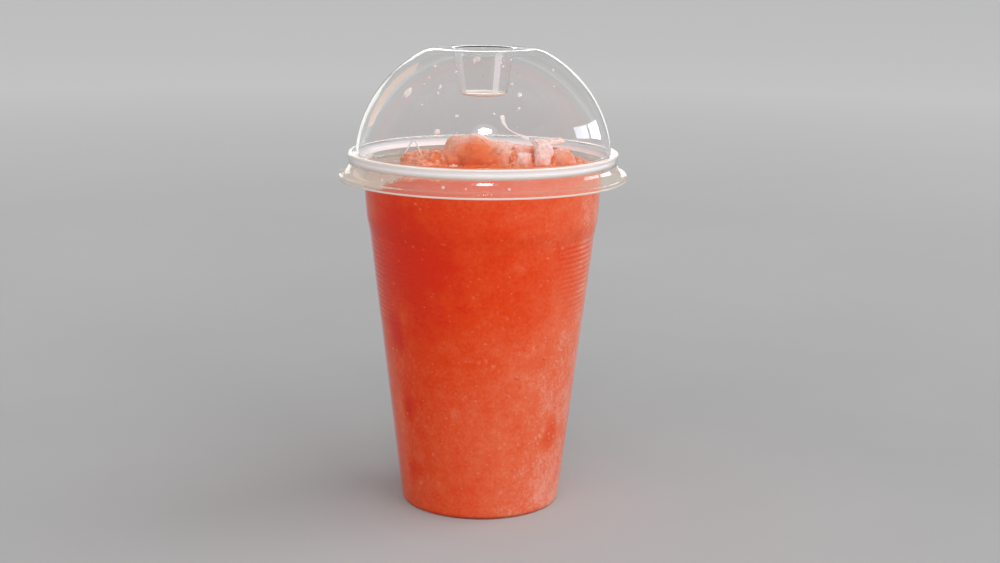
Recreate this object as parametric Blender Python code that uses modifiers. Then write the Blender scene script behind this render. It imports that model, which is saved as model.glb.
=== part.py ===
"""A frozen slush drink: a tapered clear cup with a rolled rim and a ribbed grip, a domed clear lid
with a straw well in its flat top, and the heaped slush that fills the cup.

The frame: metres, +Z up, the origin in the middle of the foot ring, on the surface that the cup
stands on. The axis of the cup and of the lid is Z.
"""

import math
import random
from collections import namedtuple

import bmesh
import bpy
from mathutils import Vector, noise

# All turned pieces have the same facets, so that their walls stay parallel.
FACETS = 40
# Between two pieces that touch.
GAP = 0.0003
# The poles of a turned piece are welded within this.
WELD = 0.00002

# The cup's cone: its radius at the table, and how much that grows with the height.
CUP_HEIGHT = 0.1278
CUP_WALL = 0.0006
CONE_FOOT_RADIUS = 0.02875
CONE_TAPER = 0.1164

# The cup's foot: a flat ring round a floor that is raised and slightly domed.
FOOT_ROUNDING = 0.0013
FOOT_INNER = 0.0250
PUNT_RADIUS = 0.0234
PUNT_HEIGHT = 0.0032
PUNT_CROWN = 0.0004
PUNT_ROUNDING = 0.0008

# The ribbed grip, and the plain band above it, as (radius, height) pairs.
RIBS = 16
RIBS_BOTTOM = 0.0705
RIBS_TOP = 0.0994
RIB_PROUD = 0.00012
RIB_SUNK = 0.00020
BAND_BOTTOM = (0.0415, 0.1050)
BAND_MIDDLE = (0.0422, 0.1139)
BAND_TOP = (0.0432, 0.1241)

# The rolled rim: a curl that starts on the wall's inside and ends under its own outer edge.
CURL_CENTRE_RADIUS = 0.0459
CURL_RADIUS = 0.0015
CURL_END_DEG = -40
CURL_STEPS = 7

# The lid's dome: an arc whose centre lies a little off the axis, under a flat top with a well.
LID_WALL = 0.0005
DOME_ARC_CENTRE = (0.00186, 0.1248)
DOME_ARC_RADIUS = 0.04394
DOME_ARC_START_DEG = 65.0
DOME_ARC_END_DEG = 6.2
DOME_STEPS = 9
DOME_TOP = 0.1651
DOME_FOOT_FILLET = 0.0004
SHOULDER = (0.0186, 0.1650)
FLAT_TOP_RADIUS = 0.0164
WELL_TOP_RADIUS = 0.0103
WELL_FLOOR_RADIUS = 0.0079
WELL_DEPTH = 0.0160
WELL_ROUNDING = 0.0009

# The lid's collar, with the groove that snaps under the rim, and its flared skirt.
COLLAR_RADIUS = 0.0482
COLLAR_ROUNDING = 0.0006
GROOVE_DEPTH = 0.0004
GROOVE_HEIGHT = 0.1248
GROOVE_MOUTH = 0.0008
GROOVE_FLOOR = 0.0003
FLARE_TOP = 0.1238
FLARE_WAIST = (0.0489, 0.1221)
FLARE_ROUNDING = 0.0014
LIP_ROUNDING = 0.0008
SKIRT_RADIUS = 0.0514
SKIRT_TOP = 0.1211
SKIRT_BOTTOM = 0.1191

# The slush. Its level follows the wall, with a low heap in the middle and lumps on that.
SLUSH_WALL_LEVEL = 0.1215
SLUSH_CROWN = 0.0045
SLUSH_TILT = (0.035, -0.045)
SLUSH_ROUGHNESS = 0.0011
SLUSH_GRAIN = 0.0075
SLUSH_RINGS = 9

# A lump is a ball pressed towards a block: squareness 0 is a ball, 1 a block of this half size.
LUMP_BLOCK = 0.86
LUMP_UNEVENNESS = 0.16
LUMP_GRAIN = 1.7
Lump = namedtuple("Lump", "x y z half_width half_height squareness")
LUMPS = (
    Lump(-0.0030, -0.0040, 0.1266, 0.0128, 0.0076, 0.10),
    Lump(-0.0150, -0.0090, 0.1240, 0.0090, 0.0054, 0.20),
    Lump(0.0085, -0.0080, 0.1262, 0.0086, 0.0064, 0.30),
    Lump(0.0160, -0.0150, 0.1262, 0.0066, 0.0054, 0.60),
    Lump(0.0230, -0.0070, 0.1262, 0.0062, 0.0056, 0.60),
    Lump(0.0305, -0.0120, 0.1242, 0.0072, 0.0052, 0.15),
    Lump(0.0160, 0.0120, 0.1250, 0.0110, 0.0060, 0.20),
    Lump(-0.0210, 0.0080, 0.1226, 0.0100, 0.0046, 0.20),
    Lump(-0.0040, 0.0220, 0.1230, 0.0110, 0.0048, 0.25),
    Lump(-0.0060, -0.0260, 0.1234, 0.0095, 0.0044, 0.20),
)

CUP_COLOUR = (0.92, 0.94, 0.95, 1.0)
LID_COLOUR = (0.94, 0.96, 0.97, 1.0)
SLUSH_COLOUR = (0.66, 0.062, 0.012, 1.0)


def clear_scene():
    """Removes what the scene holds."""
    for obj in list(bpy.data.objects):
        bpy.data.objects.remove(obj, do_unlink=True)


def new_collection(name):
    """A collection of the scene."""
    collection = bpy.data.collections.new(name)
    bpy.context.scene.collection.children.link(collection)
    return collection


def new_material(name, colour, roughness, transmission):
    """A Principled material."""
    material = bpy.data.materials.new(name)
    material.use_nodes = True
    shader = material.node_tree.nodes["Principled BSDF"]
    shader.inputs["Base Color"].default_value = colour
    shader.inputs["Roughness"].default_value = roughness
    shader.inputs["Metallic"].default_value = 0.0
    shader.inputs["Transmission Weight"].default_value = transmission
    return material


def arc(centre, radius, start_deg, end_deg, steps):
    """Points of a circle's arc, as (radius, height) pairs."""
    points = []
    for step in range(steps + 1):
        angle = math.radians(start_deg + (end_deg - start_deg) * step / steps)
        points.append((centre[0] + radius * math.cos(angle), centre[1] + radius * math.sin(angle)))
    return points


def rounded(before, corner, after, radius, steps=2):
    """Points that round a corner of an outline, from the way in to the way out."""
    corner = Vector(corner)
    start = corner + (Vector(before) - corner).normalized() * radius
    end = corner + (Vector(after) - corner).normalized() * radius
    points = []
    for step in range(steps + 1):
        share = step / steps
        bend = start.lerp(corner, share).lerp(corner.lerp(end, share), share)
        points.append((bend.x, bend.y))
    return points


def turned(name, outline, collection, material):
    """An object whose outline, in (radius, height) pairs, is turned about Z by a Screw modifier."""
    mesh = bpy.data.meshes.new(name)
    edges = [(i, i + 1) for i in range(len(outline) - 1)]
    mesh.from_pydata([(radius, 0.0, height) for radius, height in outline], edges, [])
    mesh.materials.append(material)
    obj = bpy.data.objects.new(name, mesh)
    collection.objects.link(obj)
    screw = obj.modifiers.new("turn", "SCREW")
    screw.axis = "Z"
    screw.angle = math.tau
    screw.steps = FACETS
    screw.render_steps = FACETS
    screw.use_merge_vertices = True
    screw.merge_threshold = WELD
    screw.use_smooth_shade = True
    return obj


def apply_modifiers(obj):
    """Gives an object the mesh that its modifiers make, in place of them."""
    bpy.context.view_layer.update()
    graph = bpy.context.evaluated_depsgraph_get()
    mesh = bpy.data.meshes.new_from_object(obj.evaluated_get(graph))
    mesh.name = obj.name
    obj.modifiers.clear()
    obj.data = mesh


def cone_radius(height):
    """The outer radius of the cup's cone at a height."""
    return CONE_FOOT_RADIUS + CONE_TAPER * height


def band_outline(inset):
    """The plain band, from the top down to the first rib, drawn in by inset."""
    step_bottom = (cone_radius(RIBS_TOP), RIBS_TOP)
    corners = (BAND_TOP, BAND_MIDDLE, BAND_BOTTOM, step_bottom)
    return [(radius - inset, height) for radius, height in corners]


def rib_outline():
    """The crests and hollows of the ribbed grip, from the top down."""
    pitch = (RIBS_TOP - RIBS_BOTTOM) / RIBS
    points = []
    for rib in range(RIBS):
        crest = RIBS_TOP - (rib + 0.25) * pitch
        hollow = crest - pitch / 2
        points.append((cone_radius(crest) + RIB_PROUD, crest))
        points.append((cone_radius(hollow) - RIB_SUNK, hollow))
    return points


def foot_outline(inset):
    """The rounded foot and the raised floor, from the cone to the axis, drawn in by inset."""
    cone = (cone_radius(RIBS_BOTTOM) - inset, RIBS_BOTTOM)
    corner = (cone_radius(inset) - inset, inset)
    ring = (FOOT_INNER + inset / 2, inset)
    punt = (PUNT_RADIUS + inset, PUNT_HEIGHT + inset)
    middle = (0.0, PUNT_HEIGHT + PUNT_CROWN + inset)
    points = rounded(cone, corner, ring, FOOT_ROUNDING)
    points += rounded(corner, ring, punt, PUNT_ROUNDING, 1)
    points += rounded(ring, punt, middle, PUNT_ROUNDING, 1)
    return points + [middle]


def make_cup(collection):
    """The cup, of one wall that curls over at the rim."""
    centre = (CURL_CENTRE_RADIUS, CUP_HEIGHT - CURL_RADIUS)
    inside = foot_outline(CUP_WALL)[::-1] + band_outline(CUP_WALL)[::-1]
    curl = arc(centre, CURL_RADIUS, 180, CURL_END_DEG, CURL_STEPS)
    curl += arc(centre, CURL_RADIUS - CUP_WALL, CURL_END_DEG, 180, CURL_STEPS - 2)
    outside = band_outline(0.0) + rib_outline() + foot_outline(0.0)
    material = new_material("clear_cup", CUP_COLOUR, 0.05, 1.0)
    turned("cup", inside + curl + outside, collection, material)


def collar_outline(ledge_top):
    """The collar, its groove and the flared skirt, from the ledge down."""
    groove_radius = COLLAR_RADIUS - GROOVE_DEPTH
    collar_top = (COLLAR_RADIUS, ledge_top)
    flare_top = (COLLAR_RADIUS, FLARE_TOP)
    skirt_top = (SKIRT_RADIUS, SKIRT_TOP)
    skirt_bottom = (SKIRT_RADIUS, SKIRT_BOTTOM)
    points = rounded((0.0, ledge_top), collar_top, flare_top, COLLAR_ROUNDING)
    points += [
        (COLLAR_RADIUS, GROOVE_HEIGHT + GROOVE_MOUTH),
        (groove_radius, GROOVE_HEIGHT + GROOVE_FLOOR),
        (groove_radius, GROOVE_HEIGHT - GROOVE_FLOOR),
        flare_top,
    ]
    points += rounded(flare_top, FLARE_WAIST, skirt_top, FLARE_ROUNDING)
    points += rounded(FLARE_WAIST, skirt_top, skirt_bottom, LIP_ROUNDING, 1)
    return points + [skirt_bottom]


def lid_outline():
    """The lid's outer side, from the middle of the well's floor to the skirt's lower edge."""
    ledge_top = CUP_HEIGHT + GAP + LID_WALL
    well_middle = (0.0, DOME_TOP - WELL_DEPTH)
    well_floor = (WELL_FLOOR_RADIUS, DOME_TOP - WELL_DEPTH)
    well_edge = (WELL_TOP_RADIUS, DOME_TOP)
    flat_top = (FLAT_TOP_RADIUS, DOME_TOP)
    dome = arc(DOME_ARC_CENTRE, DOME_ARC_RADIUS, DOME_ARC_START_DEG, DOME_ARC_END_DEG, DOME_STEPS)
    dome_foot = (dome[-1][0], ledge_top)
    points = [well_middle]
    points += rounded(well_middle, well_floor, well_edge, WELL_ROUNDING)
    points += rounded(well_floor, well_edge, flat_top, WELL_ROUNDING)
    points += [flat_top, SHOULDER] + dome
    points += rounded(dome[-1], dome_foot, (COLLAR_RADIUS, ledge_top), DOME_FOOT_FILLET, 1)
    return points + collar_outline(ledge_top)


def make_lid(collection):
    """The domed lid, a turned sheet given its thickness inwards."""
    material = new_material("clear_lid", LID_COLOUR, 0.03, 1.0)
    lid = turned("lid", lid_outline(), collection, material)
    wall = lid.modifiers.new("wall", "SOLIDIFY")
    wall.thickness = LID_WALL
    wall.offset = -1.0
    wall.use_even_offset = True
    wall.use_quality_normals = True


def slush_room(height):
    """The radius that the upper band leaves to the slush at a height."""
    rise = (height - BAND_MIDDLE[1]) / (BAND_TOP[1] - BAND_MIDDLE[1])
    return BAND_MIDDLE[0] + rise * (BAND_TOP[0] - BAND_MIDDLE[0]) - CUP_WALL - GAP


def slush_outline():
    """The slush, from the middle of its still level top down the wall and along the floor."""
    inset = CUP_WALL + GAP
    rim = slush_room(SLUSH_WALL_LEVEL)
    top = [(rim * ring / SLUSH_RINGS, BAND_TOP[1]) for ring in range(SLUSH_RINGS + 1)]
    wall = band_outline(inset)[1:]
    return top + wall + foot_outline(inset)


def slush_level(x, y):
    """The height of the slush's top at a point, without its lumps."""
    reach = math.hypot(x, y) / BAND_TOP[0]
    crown = SLUSH_CROWN * (1.0 - reach * reach)
    tilt = SLUSH_TILT[0] * x + SLUSH_TILT[1] * y
    rough = noise.noise(Vector((x, y, 0.0)) / SLUSH_GRAIN) * SLUSH_ROUGHNESS
    return SLUSH_WALL_LEVEL + crown + tilt + rough


def shape_slush_top(slush):
    """Moves the level top of the slush to its heap, and keeps its edge off the cup's wall."""
    for vertex in slush.data.vertices:
        if vertex.co.z < BAND_TOP[1] - WELD:
            continue
        vertex.co.z = slush_level(vertex.co.x, vertex.co.y)
        reach = math.hypot(vertex.co.x, vertex.co.y)
        room = slush_room(vertex.co.z)
        if reach > room:
            vertex.co.x *= room / reach
            vertex.co.y *= room / reach
    slush.data.update()


def shape_lump(shape, lump, draw):
    """Presses a unit ball towards a block, makes it uneven, and turns and places it."""
    shift = Vector((draw.uniform(0, 50), draw.uniform(0, 50), draw.uniform(0, 50)))
    turn = draw.uniform(0.0, math.pi)
    for vertex in shape.verts:
        ball = vertex.co.normalized()
        block = ball / max(abs(ball.x), abs(ball.y), abs(ball.z)) * LUMP_BLOCK
        place = ball.lerp(block, lump.squareness)
        place *= 1.0 + LUMP_UNEVENNESS * noise.noise(ball * LUMP_GRAIN + shift)
        across = place.x * lump.half_width
        along = place.y * lump.half_width
        vertex.co.x = lump.x + across * math.cos(turn) - along * math.sin(turn)
        vertex.co.y = lump.y + across * math.sin(turn) + along * math.cos(turn)
        vertex.co.z = lump.z + place.z * lump.half_height


def make_lump(number, lump, collection):
    """One lump of frozen slush, as an object to be joined to the slush."""
    shape = bmesh.new()
    bmesh.ops.create_icosphere(shape, subdivisions=2, radius=1.0)
    shape_lump(shape, lump, random.Random(number))
    mesh = bpy.data.meshes.new(f"lump_{number}")
    shape.to_mesh(mesh)
    shape.free()
    obj = bpy.data.objects.new(mesh.name, mesh)
    obj.hide_render = True
    obj.display_type = "WIRE"
    collection.objects.link(obj)


def make_slush(collection):
    """The slush, with its lumps joined on by one union."""
    material = new_material("frozen_slush", SLUSH_COLOUR, 0.35, 0.0)
    slush = turned("slush", slush_outline(), collection, material)
    apply_modifiers(slush)
    shape_slush_top(slush)
    lumps = new_collection("slush_lumps")
    for number, lump in enumerate(LUMPS):
        make_lump(number, lump, lumps)
    join = slush.modifiers.new("lumps", "BOOLEAN")
    join.operation = "UNION"
    join.operand_type = "COLLECTION"
    join.collection = lumps
    apply_modifiers(slush)
    for obj in list(lumps.objects):
        bpy.data.objects.remove(obj, do_unlink=True)
    bpy.data.collections.remove(lumps)
    slush.data.materials.clear()
    slush.data.materials.append(material)
    slush.data.shade_smooth()


def main():
    """Builds the drink."""
    clear_scene()
    drink = new_collection("slush_drink")
    make_cup(drink)
    make_lid(drink)
    make_slush(drink)


main()
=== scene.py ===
"""The looks of a frozen slush drink: an orange-red slush heaped in a tapered clear cup with a ribbed
grip, under a clear dome lid with a straw well in its flat top.

Everything is in metres, +Z up, with the origin in the middle of the cup's foot ring. The camera
looks roughly along +Y, from a little above. Bearings are in degrees round the drink's axis, 0
towards the camera and growing towards +X.
"""

import logging
import math
import random
from collections.abc import Callable, Sequence
from dataclasses import dataclass
from enum import Enum

import bmesh
import bpy
from mathutils import Matrix, Vector, noise


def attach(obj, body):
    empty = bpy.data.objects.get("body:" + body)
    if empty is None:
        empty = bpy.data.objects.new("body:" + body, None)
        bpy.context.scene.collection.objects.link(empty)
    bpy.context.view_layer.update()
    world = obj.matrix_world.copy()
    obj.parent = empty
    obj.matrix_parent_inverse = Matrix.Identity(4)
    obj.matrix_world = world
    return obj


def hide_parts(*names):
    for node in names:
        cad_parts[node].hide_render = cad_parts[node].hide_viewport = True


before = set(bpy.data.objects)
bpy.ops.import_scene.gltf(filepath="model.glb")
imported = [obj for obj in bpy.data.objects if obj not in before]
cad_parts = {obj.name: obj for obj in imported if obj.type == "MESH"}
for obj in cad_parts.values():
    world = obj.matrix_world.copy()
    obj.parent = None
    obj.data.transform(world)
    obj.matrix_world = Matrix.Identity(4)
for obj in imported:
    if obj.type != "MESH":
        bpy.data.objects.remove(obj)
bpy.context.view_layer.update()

Pair = tuple[float, float]
Triple = tuple[float, float, float]
Outline = list[Pair]
Material = bpy.types.Material
Node = bpy.types.Node
Piece = bpy.types.Object
Shape = bmesh.types.BMesh
Socket = bpy.types.NodeSocket
Sockets = bpy.types.bpy_prop_collection

LOG = logging.getLogger("slush_drink")
BODY = "root"
SPIN_STEPS = 192
LONGEST_STRETCH = 0.0015
WELD = 0.00001


# Shapes


def held(value: float, low: float = 0.0, high: float = 1.0) -> float:
    """A value, held between two others."""
    return min(max(value, low), high)


def eased(share: float) -> float:
    """A share that sets off and arrives gently: 0 up to 0, and 1 from 1 on."""
    return held(share) ** 2 * (3.0 - 2.0 * held(share))


def around(bearing: float, reach: float, height: float) -> Vector:
    """The point at a bearing, in radians, a distance from the axis and a height."""
    return Vector((math.sin(bearing) * reach, -math.cos(bearing) * reach, height))


def draw_in(vert: bmesh.types.BMVert, room: float) -> None:
    """Draws a vertex in towards the axis, where it lies too far out.

    Args:
        vert: The vertex.
        room: How far out it may lie.
    """
    reach = math.hypot(vert.co.x, vert.co.y)
    if reach > room:
        vert.co.x *= room / reach
        vert.co.y *= room / reach


def read_off(table: Sequence[Pair], at: float) -> float:
    """A value read from a table, straight between its rows.

    Args:
        table: The rows, as places in rising order with their values.
        at: The place to read.

    Returns:
        The value. Past the table's end, its last stretch goes on.
    """
    for (start, first), (end, last) in zip(table, table[1:]):
        if at <= end:
            break
    return first + (last - first) * (at - start) / (end - start)


def arc(centre: Pair, radius: float, start_deg: float, end_deg: float, steps: int) -> Outline:
    """Points of a circle's arc.

    Args:
        centre: The arc's centre, as (radius, height).
        radius: The arc's own radius.
        start_deg: The angle of the first point, from the horizontal.
        end_deg: The angle of the last point.
        steps: How many steps lie between them.

    Returns:
        The points, as (radius, height) pairs.
    """
    angles = [math.radians(start_deg + (end_deg - start_deg) * step / steps) for step in range(steps + 1)]
    return [(centre[0] + radius * math.cos(angle), centre[1] + radius * math.sin(angle)) for angle in angles]


def rounded(corners: Sequence[tuple[float, ...]]) -> Outline:
    """An outline with some of its corners rounded.

    Args:
        corners: Its corners, as (radius, height). A rounded one has two more numbers: how far from the
            corner the rounding starts and ends, and its steps.

    Returns:
        The points, from the first corner to the last.
    """
    points = [corners[0][:2]]
    for before, corner, after in zip(corners, corners[1:], corners[2:]):
        turn = Vector(corner[:2])
        radius, steps = corner[2:] or (0.0, 0)
        start = turn + (Vector(before[:2]) - turn).normalized() * radius
        end = turn + (Vector(after[:2]) - turn).normalized() * radius
        for step in range(steps + 1):
            share = step / max(steps, 1)
            points.append(tuple(start.lerp(turn, share).lerp(turn.lerp(end, share), share)))
    return points + [corners[-1][:2]]


def spun(outline: Outline, steps: int = SPIN_STEPS) -> Shape:
    """An outline spun once round Z, its poles closed and its faces outwards.

    Its long straight stretches are divided first, so that the wall shades evenly.

    Args:
        outline: The outline, as (radius, height) pairs.
        steps: How many steps the full turn has.

    Returns:
        The bmesh.
    """
    line = [outline[0]]
    for start, end in zip(outline, outline[1:]):
        parts = max(1, math.ceil(math.dist(start, end) / LONGEST_STRETCH))
        line += [tuple(Vector(start).lerp(Vector(end), part / parts)) for part in range(1, parts + 1)]
    shape = bmesh.new()
    corners = [shape.verts.new((radius, 0.0, height)) for radius, height in line]
    sides = [shape.edges.new(pair) for pair in zip(corners, corners[1:])]
    bmesh.ops.spin(
        shape,
        geom=corners + sides,
        cent=(0.0, 0.0, 0.0),
        axis=(0.0, 0.0, 1.0),
        angle=math.tau,
        steps=steps,
        use_merge=True,
        use_duplicate=False,
    )
    bmesh.ops.remove_doubles(shape, verts=shape.verts, dist=WELD)
    bmesh.ops.recalc_face_normals(shape, faces=shape.faces)
    return shape


def placed(name: str, data: bpy.types.ID, pose: Matrix | None = None) -> Piece:
    """An object, linked to the scene.

    Args:
        name: Its name.
        data: Its mesh, light or camera.
        pose: Where it stands, or None for the origin.

    Returns:
        The object.
    """
    holder = bpy.data.objects.new(name, data)
    bpy.context.scene.collection.objects.link(holder)
    if pose is not None:
        holder.matrix_world = pose
    return holder


def as_object(name: str, shape: Shape) -> Piece:
    """Makes a smooth-shaded object of a finished bmesh, and frees the bmesh.

    Args:
        name: The object's name.
        shape: The bmesh.

    Returns:
        The object.
    """
    mesh = bpy.data.meshes.new(name)
    shape.to_mesh(mesh)
    shape.free()
    mesh.shade_smooth()
    return placed(name, mesh)


def apply_modifiers(piece: Piece) -> None:
    """Gives a piece the mesh that its modifiers make, in place of them.

    Args:
        piece: The piece.
    """
    bpy.context.view_layer.update()
    graph = bpy.context.evaluated_depsgraph_get()
    mesh = bpy.data.meshes.new_from_object(piece.evaluated_get(graph))
    mesh.name = piece.name
    piece.modifiers.clear()
    piece.data = mesh


def melt(piece: Piece, voxel: float) -> None:
    """Melts the overlapping shapes of a piece into one smooth skin.

    Args:
        piece: The piece.
        voxel: How fine the skin is.
    """
    remesh = piece.modifiers.new("melt", "REMESH")
    remesh.mode = "VOXEL"
    remesh.voxel_size = voxel
    apply_modifiers(piece)
    piece.data.shade_smooth()


def settle(piece: Piece, finish: Material, slot: str, *nodes: str) -> Piece:
    """Dresses a piece, fixes it to what it rides on, and hides the CAD nodes that it stands for.

    Args:
        piece: The finished object.
        finish: Its material.
        slot: Not used.
        nodes: The CAD nodes that it replaces.

    Returns:
        The piece.
    """
    piece.data.materials.clear()
    piece.data.materials.append(finish)
    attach(piece, BODY)
    for node in nodes:
        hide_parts(node)
    piece.data.calc_loop_triangles()
    LOG.info("%s: %d triangles", piece.name, len(piece.data.loop_triangles))
    return piece


def add_finish(piece: Piece, finish: Material, covers: Callable[[Vector], bool]) -> None:
    """Gives some of a piece's faces a finish of their own.

    Args:
        piece: The piece, dressed already.
        finish: The other material.
        covers: Says of a face's middle whether it takes that material.
    """
    piece.data.materials.append(finish)
    for face in piece.data.polygons:
        if covers(face.center):
            face.material_index = len(piece.data.materials) - 1


# Shader nodes


class Wiring:
    """Adds nodes to one node tree and joins them."""

    def __init__(self, tree: bpy.types.NodeTree) -> None:
        """Keeps the tree."""
        self.tree = tree

    def join(self, target: Socket, value: object) -> None:
        """Gives an input a socket to read, or a plain value.

        Args:
            target: The input.
            value: The socket or the value.
        """
        if isinstance(value, Socket):
            self.tree.links.new(value, target)
        else:
            target.default_value = value

    def set(self, node: Node, **values: object) -> Node:
        """Joins inputs of a node.

        Args:
            node: The node.
            values: Sockets or plain values, by the inputs' names with _ for a space.

        Returns:
            The node.
        """
        for name, value in values.items():
            self.join(node.inputs[name.replace("_", " ")], value)
        return node

    def add(self, kind: str, settings: dict[str, object] | None = None, **values: object) -> Node:
        """A new node.

        Args:
            kind: The node's type, without the words ShaderNode in front.
            settings: Its plain properties.
            values: Its inputs, by name as for set.

        Returns:
            The node.
        """
        node = self.tree.nodes.new("ShaderNode" + kind)
        for name, value in (settings or {}).items():
            setattr(node, name, value)
        return self.set(node, **values)

    def math(self, operation: str, *terms: object, clamp: bool = False) -> Socket:
        """The result of a Math node.

        Args:
            operation: The node's operation.
            terms: Its terms, as sockets or numbers.
            clamp: Whether the result is held between 0 and 1.

        Returns:
            The result.
        """
        node = self.add("Math", {"operation": operation, "use_clamp": clamp})
        for target, term in zip(node.inputs, terms):
            self.join(target, term)
        return node.outputs["Value"]

    def ramp(self, factor: Socket, stops: Sequence[tuple[float, Triple]]) -> Socket:
        """A colour read from a ramp.

        Args:
            factor: Where on the ramp to read.
            stops: Its stops, as positions with their colours.

        Returns:
            The colour.
        """
        node = self.add("ValToRGB", Fac=factor)
        elements = node.color_ramp.elements
        while len(elements) < len(stops):
            elements.new(1.0)
        for element, (position, colour) in zip(elements, stops):
            element.position = position
            element.color = (*colour, 1.0)
        return node.outputs["Color"]

    def blend(self, share: Socket, first: Socket | Triple, second: Triple) -> Socket:
        """A mix of two colours.

        Args:
            share: How much of the second colour there is.
            first: The first colour.
            second: The second colour.

        Returns:
            The mixed colour.
        """
        node = self.add("Mix", {"data_type": "RGBA"})
        first = first if isinstance(first, Socket) else (*first, 1.0)
        for number, value in ((0, share), (6, first), (7, (*second, 1.0))):
            self.join(node.inputs[number], value)
        return node.outputs[2]

    def stretch(self, value: Socket, low: float, high: float, start: float, end: float) -> Socket:
        """A value carried from one range to another, and held in it.

        Args:
            value: The value.
            low: The bottom of its range.
            high: The top of its range.
            start: What the bottom becomes.
            end: What the top becomes.

        Returns:
            The new value.
        """
        node = self.add("MapRange", Value=value, From_Min=low, From_Max=high, To_Min=start, To_Max=end)
        return node.outputs["Result"]


class Effect(Wiring):
    """A node group for an effect that more than one material uses."""

    name: str
    inputs: dict[str, float]

    @classmethod
    def group(cls) -> bpy.types.NodeTree:
        """The group, built once and found by its name afterwards.

        Returns:
            The group.
        """
        if cls.name in bpy.data.node_groups:
            return bpy.data.node_groups[cls.name]
        effect = cls(bpy.data.node_groups.new(cls.name, "ShaderNodeTree"))
        interface = effect.tree.interface
        interface.new_socket(name="Vector", in_out="INPUT", socket_type="NodeSocketVector")
        for label, value in cls.inputs.items():
            socket = interface.new_socket(name=label, in_out="INPUT", socket_type="NodeSocketFloat")
            socket.default_value = value
        results = effect.fill(effect.tree.nodes.new("NodeGroupInput").outputs)
        for label in results:
            interface.new_socket(name=label, in_out="OUTPUT", socket_type="NodeSocketFloat")
        effect.set(effect.tree.nodes.new("NodeGroupOutput"), **results)
        return effect.tree

    def fill(self, given: Sockets) -> dict[str, Socket]:
        """Puts the effect's nodes in.

        Args:
            given: The group's inputs.

        Returns:
            The group's outputs, by name.
        """
        raise NotImplementedError


class IceSpecks(Effect):
    """Scattered ice specks: of all the cells of a pattern, only some hold one, each of its own size."""

    name = "ice_specks"
    inputs = {"Scale": 300.0, "Share": 0.2, "Softness": 0.1}

    def fill(self, given: Sockets) -> dict[str, Socket]:
        """Puts the effect's nodes in.

        Args:
            given: The group's inputs.

        Returns:
            How much of a speck shows.
        """
        cells = self.add("TexVoronoi", Vector=given["Vector"], Scale=given["Scale"]).outputs
        finer = self.math("MULTIPLY", given["Scale"], 2.3)
        wobble = self.add("TexNoise", Vector=given["Vector"], Scale=finer, Detail=1.0).outputs["Fac"]
        distance = self.math("ADD", cells["Distance"], self.stretch(wobble, 0.3, 0.7, -0.14, 0.14))
        draw = self.add("SeparateColor", Color=cells["Color"]).outputs
        chosen = self.math("GREATER_THAN", draw["Red"], self.math("SUBTRACT", 1.0, given["Share"]))
        depth = self.math("SUBTRACT", self.stretch(draw["Green"], 0.0, 1.0, 0.16, 0.42), distance)
        soft = self.math("DIVIDE", depth, given["Softness"], clamp=True)
        return {"Mask": self.math("MULTIPLY", soft, chosen)}


class FrostGrain(Effect):
    """The grain of fine ice: packed crystals with a softer swell under them."""

    name = "frost_grain"
    inputs = {"Scale": 900.0, "Crystals": 0.5}

    def fill(self, given: Sockets) -> dict[str, Socket]:
        """Puts the effect's nodes in.

        Args:
            given: The group's inputs.

        Returns:
            The grain's height, and its tone.
        """
        crystals = self.add("TexVoronoi", Vector=given["Vector"], Scale=given["Scale"])
        coarser = self.math("MULTIPLY", given["Scale"], 0.45)
        swell = self.add("TexNoise", Vector=given["Vector"], Scale=coarser, Detail=3.0, Roughness=0.6)
        packed = self.math("SUBTRACT", 1.0, crystals.outputs["Distance"])
        part = self.math("MULTIPLY", packed, given["Crystals"])
        rest = self.math("SUBTRACT", 1.0, given["Crystals"])
        height = self.math("ADD", part, self.math("MULTIPLY", swell.outputs["Fac"], rest))
        return {"Height": height, "Tone": swell.outputs["Fac"]}


class MouldedFilm(Effect):
    """The slight waves of a thin moulded wall, and the haze of handling on it."""

    name = "moulded_film"
    inputs = {"Wave Scale": 90.0, "Haze Scale": 60.0}

    def fill(self, given: Sockets) -> dict[str, Socket]:
        """Puts the effect's nodes in.

        Args:
            given: The group's inputs.

        Returns:
            The waves' height, and the haze.
        """
        place = given["Vector"]
        waves = self.add("TexNoise", Vector=place, Scale=given["Wave Scale"], Detail=1.0, Roughness=0.4)
        haze = self.add("TexNoise", Vector=place, Scale=given["Haze Scale"], Detail=4.0, Roughness=0.65)
        handled = self.stretch(haze.outputs["Fac"], 0.35, 0.75, 0.0, 1.0)
        return {"Height": waves.outputs["Fac"], "Haze": handled}


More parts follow.
